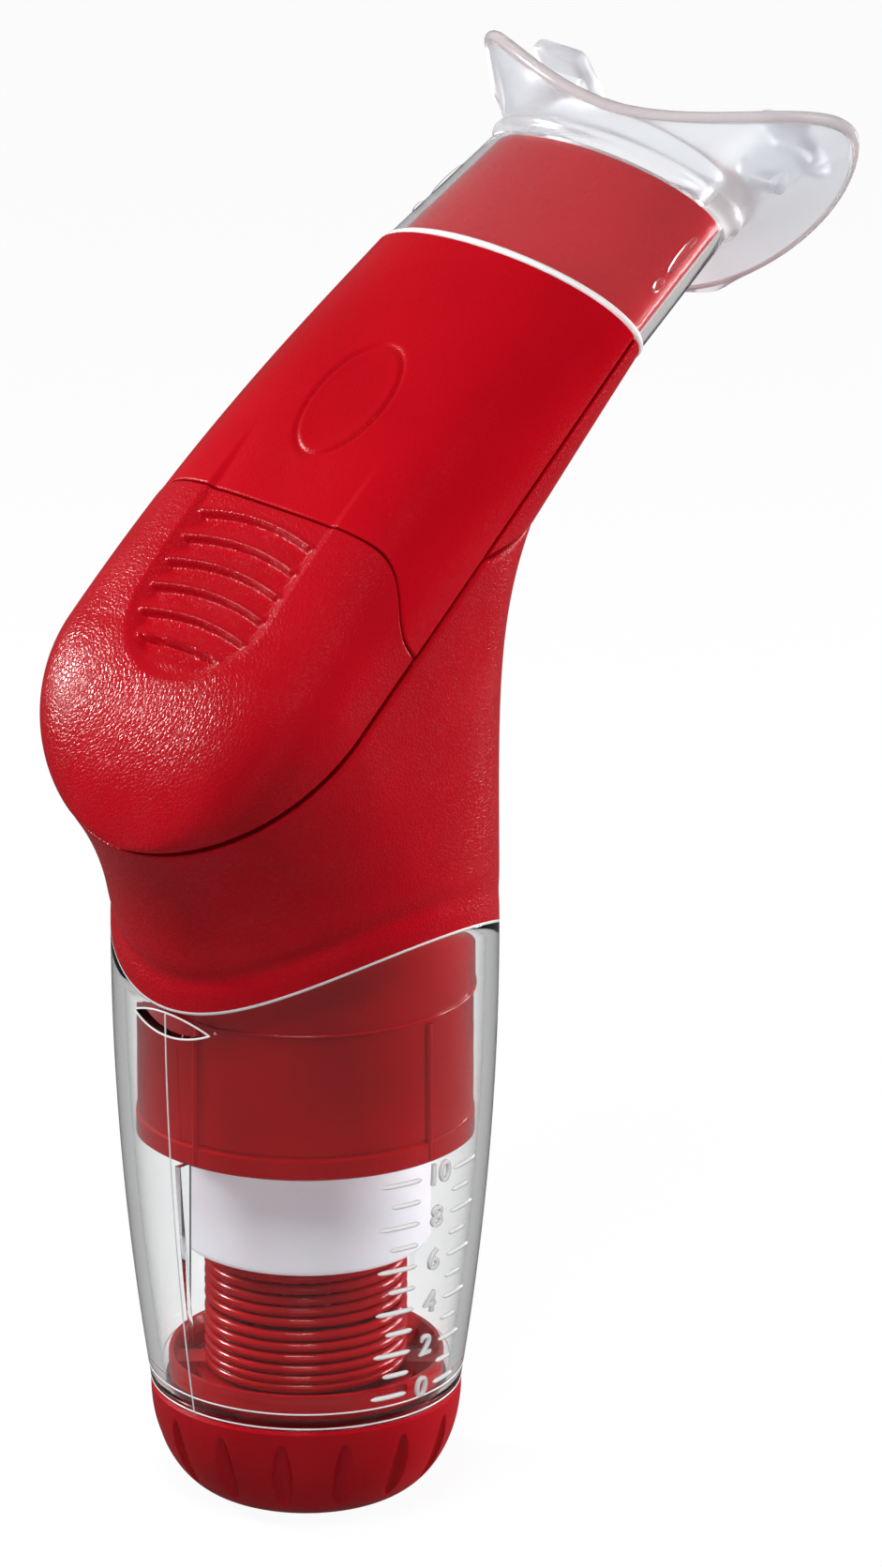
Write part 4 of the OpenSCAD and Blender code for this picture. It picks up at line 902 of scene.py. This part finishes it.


# Clear barrel: steps, foot, rounded edges, floor and the thin lines moulded on it, whose whitish look is a
# painted highlight
BARREL_COLS, BARREL_ROWS, LENS_STEPS, RIB_ROWS = 288, 40, 48, 24
SEAM_GAP, FOOT_IN_R, FOOT_DROP, FOOT_EDGE, FOOT_RISE = 0.12, 17.60, 0.05, 0.3, 0.25
LIP_OUT_R, LIP_IN_R, LIP_STEP, FLOOR_ROUND = 0.3, 0.35, 0.1, 1.0
INLET_LOW_R, INLET_HIGH_R, INLET_LIP_R, INLET_LIP_IN = 18, 26, 0.13, 0.05
SEAM_BEAD_R, SEAM_BEAD_IN, SEAM_BEAD_DROP = 0.30, 0.28, 0.14
MOULD_TURN, MOULD_TOP_Z, MOULD_LIFT, MOULD_R, MOULD_IN = math.radians(179.5), 67.4, 0.4, 0.10, 0.03
FOOT_LINES, FOOT_LINE_R, FOOT_LINE_IN = (BARREL_Z + 0.35, BARREL_Z + 2.4), 0.11, 0.06
RIB_SINK, RIB_LEAST = 0.1, 0.02


def inlet_outline():
    """Lens-shaped outline of the air inlet, as points across and up."""
    y = np.linspace(-INLET_W / 2, INLET_W / 2, LENS_STEPS)
    r = (INLET_W ** 2 + INLET_H ** 2) / (4 * INLET_H)
    up = np.sqrt(r * r - y * y) - (r - INLET_H / 2)
    return list(zip(y, INLET_Z + up)) + list(zip(y, INLET_Z - up))[-2:0:-1]


def barrel_rings(theta):
    """The wall from its foot up, over the top edge, down to the floor and in to the hub."""
    top = seam_z(BARREL_R * np.cos(theta)) - SEAM_GAP
    rings = [round_point(theta, r, BARREL_Z - FOOT_DROP) for r in (FOOT_IN_R, KNOB_R - FOOT_EDGE)]
    for f in np.linspace(0, 1, BARREL_ROWS):
        z = mix(BARREL_Z + FOOT_RISE, top - LIP_OUT_R, f)
        rings.append(round_point(theta, barrel_at(z), z))
    for inset, drop in ((LIP_STEP, LIP_STEP), (LIP_IN_R, 0), (BARREL_WALL - LIP_IN_R, 0),
                        (BARREL_WALL - LIP_STEP, LIP_STEP)):
        rings.append(round_point(theta, barrel_at(top - drop) - inset, top - drop))
    for f in np.linspace(1, 0, BARREL_ROWS):
        z = mix(FLOOR_TOP_Z + FLOOR_ROUND, top - LIP_IN_R, f)
        rings.append(round_point(theta, barrel_at(z) - BARREL_WALL, z))
    floor_r = float(barrel_at(FLOOR_TOP_Z)) - BARREL_WALL
    floor = [(floor_r - FLOOR_ROUND * inward, FLOOR_TOP_Z + FLOOR_ROUND * up)
             for inward, up in ((0.1, 0.5), (0.5, 0.1), (1, 0))]
    floor += [(HUB_R + RUN_GAP, FLOOR_TOP_Z), (HUB_R + RUN_GAP, FLOOR_Z), (NECK_R, FLOOR_Z)]
    return np.array(rings + [round_point(theta, r, z) for r, z in floor])


def build_barrel():
    theta = full_turn(BARREL_COLS)
    rings = barrel_rings(theta)
    faces = grid_faces(len(rings), BARREL_COLS, True, True)
    shell = new_object("barrel_shell", rings.reshape(-1, 3), faces)
    outline = inlet_outline()
    cut(shell, [prism("inlet", [[(x, y, z) for y, z in outline] for x in (-INLET_HIGH_R, -INLET_LOW_R)])])
    place(shell, "housing", acrylic, ["clear_barrel"])
    lip = [(INLET_LIP_IN - math.sqrt(float(barrel_at(z)) ** 2 - y * y), y, z) for y, z in outline]
    seam = round_point(theta, BARREL_R - SEAM_BEAD_IN, seam_z(BARREL_R * np.cos(theta)) - SEAM_BEAD_DROP)
    z = np.linspace(BARREL_Z + MOULD_LIFT, MOULD_TOP_Z, 60)
    # These lines stand a hair off the wall; their whitish material paints the glints along the seam, inlet,
    # mould line and foot
    lines = [("inlet_lip", lip, INLET_LIP_R, 8, True), ("seam_bead", seam, SEAM_BEAD_R, 10, True),
             ("mould_line", round_point(MOULD_TURN, barrel_at(z) - MOULD_IN, z), MOULD_R, 8, False)]
    for k, z in enumerate(FOOT_LINES):
        ring = round_point(theta, barrel_at(z) - FOOT_LINE_IN, z)
        lines.append((f"foot_line_{k + 1}", ring, FOOT_LINE_R, 8, True))
    for line in lines:
        place(tube(*line), "housing", white_painted_glint)
    for k, turn in enumerate((0, math.pi)):
        place(inner_rib(f"barrel_rib_{k + 1}", turn), "housing", acrylic)


def inner_rib(name, turn):
    """Moulded rib in the bore that runs out into the wall at its lower end."""
    z = np.linspace(RIB_Z, TUBE_Z - SLIDE_GAP, RIB_ROWS)
    outer = barrel_at(z) - BARREL_WALL + RIB_SINK
    inner = np.minimum(float(barrel_at(TUBE_Z)) - RIB_REACH, outer - RIB_LEAST)
    c, s = math.cos(turn), math.sin(turn)
    corners = ((outer, -RIB_T / 2), (inner, -RIB_T / 3), (inner, RIB_T / 3), (outer, RIB_T / 2))
    v = np.stack([np.stack([r * c - w * s, r * s + w * c, z], -1) for r, w in corners], 1)
    ends = [[0, 1, 2, 3], [4 * RIB_ROWS - 1 - k for k in range(4)]]
    return new_object(name, v.reshape(-1, 3), grid_faces(RIB_ROWS, 4, False, True) + ends)


build_barrel()

# Scale on the barrel: raised bars and plain figures
SCALE_Z, SCALE_STEP, MARKS = 17.6, 2.88, 11
LEFT_END, LEFT_LONG, LEFT_SHORT = 263.7, 14.6, 10.6
RIGHT_START, RIGHT_LONG, RIGHT_SHORT = 277.5, 13.2, 8.7
BAR_R, BAR_END_R, BAR_OUT, BAR_STEPS = 0.33, 0.1, 0.02, 12
FIGURE_TURN, FIGURE_H, TYPE_SHARE = 270.9, 2.9, 1.35


def bar(name, start, end, z):
    swell = np.minimum(1, 3 * np.sin(np.linspace(0, math.pi, BAR_STEPS)))
    path = round_point(np.radians(np.linspace(start, end, BAR_STEPS)), barrel_at(z) + BAR_OUT, z)
    return tube(name, path, mix(BAR_END_R, BAR_R, swell), 8)


def figure(name, text, z):
    """A figure raised off the barrel and wrapped round it."""
    curve = bpy.data.curves.new(name, "FONT")
    curve.body, curve.size = text, FIGURE_H * MM * TYPE_SHARE
    curve.align_x = curve.align_y = "CENTER"
    curve.extrude, curve.bevel_depth, curve.bevel_resolution = 0.22 * MM, 0.10 * MM, 2
    curve.offset, curve.resolution_u = -0.02 * MM, 6
    source = linked(name + "_text", curve)
    bpy.context.view_layer.update()
    me = bpy.data.meshes.new_from_object(source.evaluated_get(bpy.context.evaluated_depsgraph_get()))
    bpy.data.objects.remove(source)
    p = np.array([v.co for v in me.vertices], float) / MM
    r = barrel_at(z + p[:, 1])
    v = round_point(math.radians(FIGURE_TURN) + p[:, 0] / r, r + p[:, 2], z + p[:, 1])
    faces = [list(f.vertices) for f in me.polygons]
    bpy.data.meshes.remove(me)
    return new_object(name, v, faces, 40, 1e-5)


def build_scale():
    for k in range(MARKS):
        z = SCALE_Z + k * SCALE_STEP
        left, right = (LEFT_SHORT, RIGHT_SHORT) if k % 2 else (LEFT_LONG, RIGHT_LONG)
        for word, start, end in (("left", LEFT_END - left, LEFT_END),
                                 ("right", RIGHT_START, RIGHT_START + right)):
            place(bar(f"tick_{word}_{k}", start, end, z), "housing", scale_clear)
    for k in range(0, MARKS, 2):
        place(figure(f"figure_{k}", str(k), SCALE_Z + k * SCALE_STEP), "housing", scale_clear)


build_scale()

# Inner tube: its outside as depths and heights from the foot up, its ledge, ring and keys
TUBE_OUTSIDE = ((0.25, TUBE_Z), (0, TUBE_Z + 0.25), (0, 49.95), (0.35, 50.15), (0.35, 50.5),
                (0.2, 50.65), (0.2, 65.8), (0, 66.2), (0, SEAT_Z))
LEDGE_W, LEDGE_T = 0.8, 1.2
TUBE_RING_Z, TUBE_RING_R, TUBE_RING_IN = 66.2, 0.22, 0.05
KEY_TURNS, KEY_R, KEY_IN, KEY_LIFT, KEY_TOP_Z = (186.0, 271.0), 0.42, 0.25, 0.4, 65.5


def build_tube():
    profile = [(TUBE_BORE, TUBE_Z)] + [(TUBE_R - depth, z) for depth, z in TUBE_OUTSIDE]
    profile += [(TUBE_BORE, SEAT_Z), (TUBE_BORE, LEDGE_Z), (TUBE_BORE - LEDGE_W, LEDGE_Z),
                (TUBE_BORE - LEDGE_W, LEDGE_Z - LEDGE_T), (TUBE_BORE, LEDGE_Z - LEDGE_T)]
    place(lathe("tube_shell", profile, 256, 30), "housing", red_clear, ["inner_tube"])
    ring = round_point(full_turn(200), TUBE_R - TUBE_RING_IN, TUBE_RING_Z)
    place(tube("tube_ring", ring, TUBE_RING_R, 8, True), "housing", red_clear)
    z = np.linspace(TUBE_Z + KEY_LIFT, KEY_TOP_Z, 30)
    for k, turn in enumerate(KEY_TURNS):
        path = round_point(math.radians(turn), TUBE_R - KEY_IN, z)
        place(tube(f"tube_key_{k + 1}", path, KEY_R, 8), "housing", red_clear)


build_tube()

# Load spring
WIRE_SHOWN, WIRE_INSET, TURN_STEPS = 1.3, 0.1, 72
FOOT_TURNS, LIFT_TURNS, RUN_STEP = 2, 4, 0.32


def coil(name, low, high, first, last):
    """The spring's wire from one count of turns to another."""
    n = (last - first) * TURN_STEPS + 1
    turn = 2 * math.pi * np.linspace(first, last, n)
    path = round_point(turn, SPRING_R - WIRE_D / 2 - WIRE_INSET, np.linspace(low, high, n))
    return tube(name, path, WIRE_SHOWN / 2, 12, sharp=80)


def build_spring():
    """Three runs of one wire: foot turns on the nut, turns that take up the valve's lift, and turns
    that take up the load's travel below the sleeve's washer."""
    pitch = (SPRING_TOP_Z - SPRING_Z) / TURNS
    turns = FOOT_TURNS + LIFT_TURNS
    z_foot, z_lift = SPRING_Z + FOOT_TURNS * pitch, SPRING_Z + turns * pitch
    z_run = z_lift + RUN_STEP
    foot = coil("spring_foot", SPRING_Z + WIRE_SHOWN / 2, z_foot, 0, FOOT_TURNS)
    place(foot, "load_nut", spring_coat)
    lift = coil("spring_lift", z_foot, z_lift, FOOT_TURNS, turns)
    place(lift, "load_nut", spring_coat)
    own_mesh(lift)
    run = coil("spring_run", z_run, SPRING_TOP_Z - WIRE_SHOWN / 2, turns, TURNS)
    place(run, "housing", spring_coat, ["load_spring"])
    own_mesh(run)


build_spring()

# Knob: steps, scoops as shares of the bowl's curve, and its inside as radii and heights
KNOB_COLS, KNOB_ROWS, KNOB_EDGE_R = 900, 90, 0.3
FLUTE_MID_SHARE, FLUTE_HALF_SHARE, FLUTE_HALF_W, FLUTE_POWER = 0.67, 0.25, 1.25, 0.8
KNOB_RIM_R, KNOB_TOP_Z = NECK_R + 0.1, FLOOR_Z - END_GAP
WASHER_Z, SOCKET_R = FLOOR_Z - 0.8, DRIVE_AF / 2 + 0.2
KNOB_INSIDE = ((KNOB_RIM_R, KNOB_H), (KNOB_RIM_R, KNOB_TOP_Z), (NECK_R - 1.2, KNOB_TOP_Z),
               (NECK_R - 2.2, 7.0), (NECK_R - 5.0, 3.2), (SHOULDER_R, 2.8), (SHOULDER_R, WASHER_Z),
               (HUB_R, WASHER_Z), (HUB_R, HUB_TOP_Z), (SOCKET_R, HUB_TOP_Z), (SOCKET_R, DRIVE_Z),
               (0, DRIVE_Z))


def build_knob():
    """Bowl with fifteen lens-shaped scoops, the rim inside it and the hub."""
    a = full_turn(KNOB_COLS)
    q = np.linspace(0, math.pi / 2, KNOB_ROWS)[:, None]
    r = mix(FOOT_R, KNOB_R, np.sin(q))
    z = KNOB_H - KNOB_H * np.cos(q)
    share = q / (math.pi / 2)
    half = np.sqrt(np.maximum(0, 1 - ((share - FLUTE_MID_SHARE) / FLUTE_HALF_SHARE) ** 2))
    pitch = 2 * math.pi / FLUTES
    across = np.abs((a / pitch + 0.5) % 1 - 0.5) * pitch * r
    lens = np.maximum(0, 1 - (across / (FLUTE_HALF_W * half + 1e-6)) ** 2) ** FLUTE_POWER
    depth = FLUTE_DEPTH * half * lens
    r = r - depth * (0.75 * np.sin(q) + 0.2) - fillet(KNOB_H - z, KNOB_EDGE_R)
    z = z + 0.7 * depth * np.cos(q)
    rings = [round_point(a, 0, 0)] + [round_point(a, r[i], z[i]) for i in range(KNOB_ROWS)]
    rings = np.array(rings + [round_point(a, *inside) for inside in KNOB_INSIDE])
    ob = new_object("knob_shell", rings.reshape(-1, 3), grid_faces(len(rings), KNOB_COLS, False, True))
    place(ob, "knob", red_knob, ["knob"])


build_knob()

# CAD pieces that show as they are
CAD_LOOK = ((milk, ("spring_sleeve", "stem_guide", "valve_seat", "poppet", "thrust_washer", "exhale_seat")),
            (steel, ("spring_washer", "spindle", "spindle_clip", "knob_clip", "exhale_pin")),
            (seal_black, ("tube_seal", "poppet_seal", "exhale_flap")), (red_part, ("load_nut",)))
for mat, names in CAD_LOOK:
    for name in names:
        look(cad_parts[name], mat)

# Stage: floor, lamps and camera. A lamp has a place, an aim, a size, watts and its part in mirrored light
LAMPS = (("key_left", (-185, 400, 235), (0, 0, 105), (50, 100), 1.75, True),
         ("right_glint", (480, -90, 115), (0, 0, 100), (90, 210), 0.6, True),
         ("top_soft", (-220, -140, 520), (10, 0, 120), (200, 200), 1.9, False),
         ("right_soft", (430, -280, 100), (0, 0, 90), (150, 210), 2.5, False),
         ("front_soft", (-480, -480, 120), (0, 0, 100), (320, 320), 0.42, False))
WHITE, CLEAR_WALLS, MIRRORED_SHARE = (1, 1, 1, 1), 3.5, 0.5
FLOOR_REACH, FLOOR_DROP = 6.0, 0.0002
CAMERA_PLACE = Vector((-1490.610, -1513.948, 885.188))
CAMERA_AHEAD = Vector((0.66233, 0.66233, -0.35021))


def add_lamp(name, place_mm, aim_mm, size, power, glossy):
    data = bpy.data.lights.new(name, "AREA")
    data.shape = "RECTANGLE"
    data.size, data.size_y = size[0] * MM, size[1] * MM
    data.energy = power
    ob = linked(name, data)
    aim(ob, Vector(place_mm), Vector(aim_mm) - Vector(place_mm))
    ob.visible_glossy = glossy


def aim(ob, place_mm, ahead):
    ob.location = place_mm * MM
    ob.rotation_mode = "QUATERNION"
    ob.rotation_quaternion = (-ahead).to_track_quat("Z", "Y")


def straight_view(nt, direct, glossy):
    """Share of white: direct for the camera, also through clear walls, and glossy for what mirrors."""
    path = add(nt, "ShaderNodeLightPath")
    unmirrored = maths(nt, "LESS_THAN", path.outputs["Glossy Depth"], 0.5)
    few_walls = maths(nt, "LESS_THAN", path.outputs["Transmission Depth"], CLEAR_WALLS)
    clear = maths(nt, "MAXIMUM", unmirrored, maths(nt, "MULTIPLY", few_walls, MIRRORED_SHARE))
    through = maths(nt, "MULTIPLY", path.outputs["Is Transmission Ray"], clear)
    seen = maths(nt, "MAXIMUM", path.outputs["Is Camera Ray"], through)
    faint = maths(nt, "MULTIPLY", path.outputs["Is Glossy Ray"], glossy)
    return maths(nt, "MAXIMUM", maths(nt, "MULTIPLY", seen, direct), faint)


def build_floor():
    me = bpy.data.meshes.new("floor")
    r = FLOOR_REACH
    me.from_pydata([(-r, -r, 0), (r, -r, 0), (r, r, 0), (-r, r, 0)], [], [[0, 1, 2, 3]])
    floor = linked("floor", me)
    floor.location.z = -FLOOR_DROP
    mat, nt, b = nodes_of("floor_white")
    feed(nt, b, {"Base Color": (0.45, 0.45, 0.455, 1), "Roughness": 0.7, "Specular IOR Level": 0.2})
    glow = add(nt, "ShaderNodeEmission", {"Color": WHITE, "Strength": 1.12})
    dim = add(nt, "ShaderNodeEmission", {"Color": WHITE, "Strength": 0.10})
    path = add(nt, "ShaderNodeLightPath")
    mirrored = shader_mix(nt, path.outputs["Is Glossy Ray"], b.outputs[0], dim.outputs[0])
    blend = shader_mix(nt, straight_view(nt, direct=0.84, glossy=0.0), mirrored, glow.outputs[0])
    nt.links.new(blend, nt.nodes["Material Output"].inputs["Surface"])
    floor.data.materials.append(mat)


def build_world():
    world = bpy.data.worlds.new("studio")
    bpy.context.scene.world = world
    world.use_nodes = True
    nt = world.node_tree
    back = nt.nodes["Background"]
    feed(nt, back, {"Color": WHITE, "Strength": 0.08})
    bright = add(nt, "ShaderNodeBackground", {"Color": WHITE, "Strength": 1.0})
    blend = shader_mix(nt, straight_view(nt, direct=1.0, glossy=0.1), back.outputs[0], bright.outputs[0])
    nt.links.new(blend, nt.nodes["World Output"].inputs["Surface"])


def build_camera():
    data = bpy.data.cameras.new("camera")
    data.lens, data.sensor_width = 430.622, 36.0
    data.clip_start, data.clip_end = 0.05, 50
    cam = linked("camera", data)
    aim(cam, CAMERA_PLACE, CAMERA_AHEAD)
    bpy.context.scene.camera = cam


build_floor()
build_world()
for lamp in LAMPS:
    add_lamp(*lamp)
build_camera()
bpy.context.scene.view_settings.view_transform = "Standard"
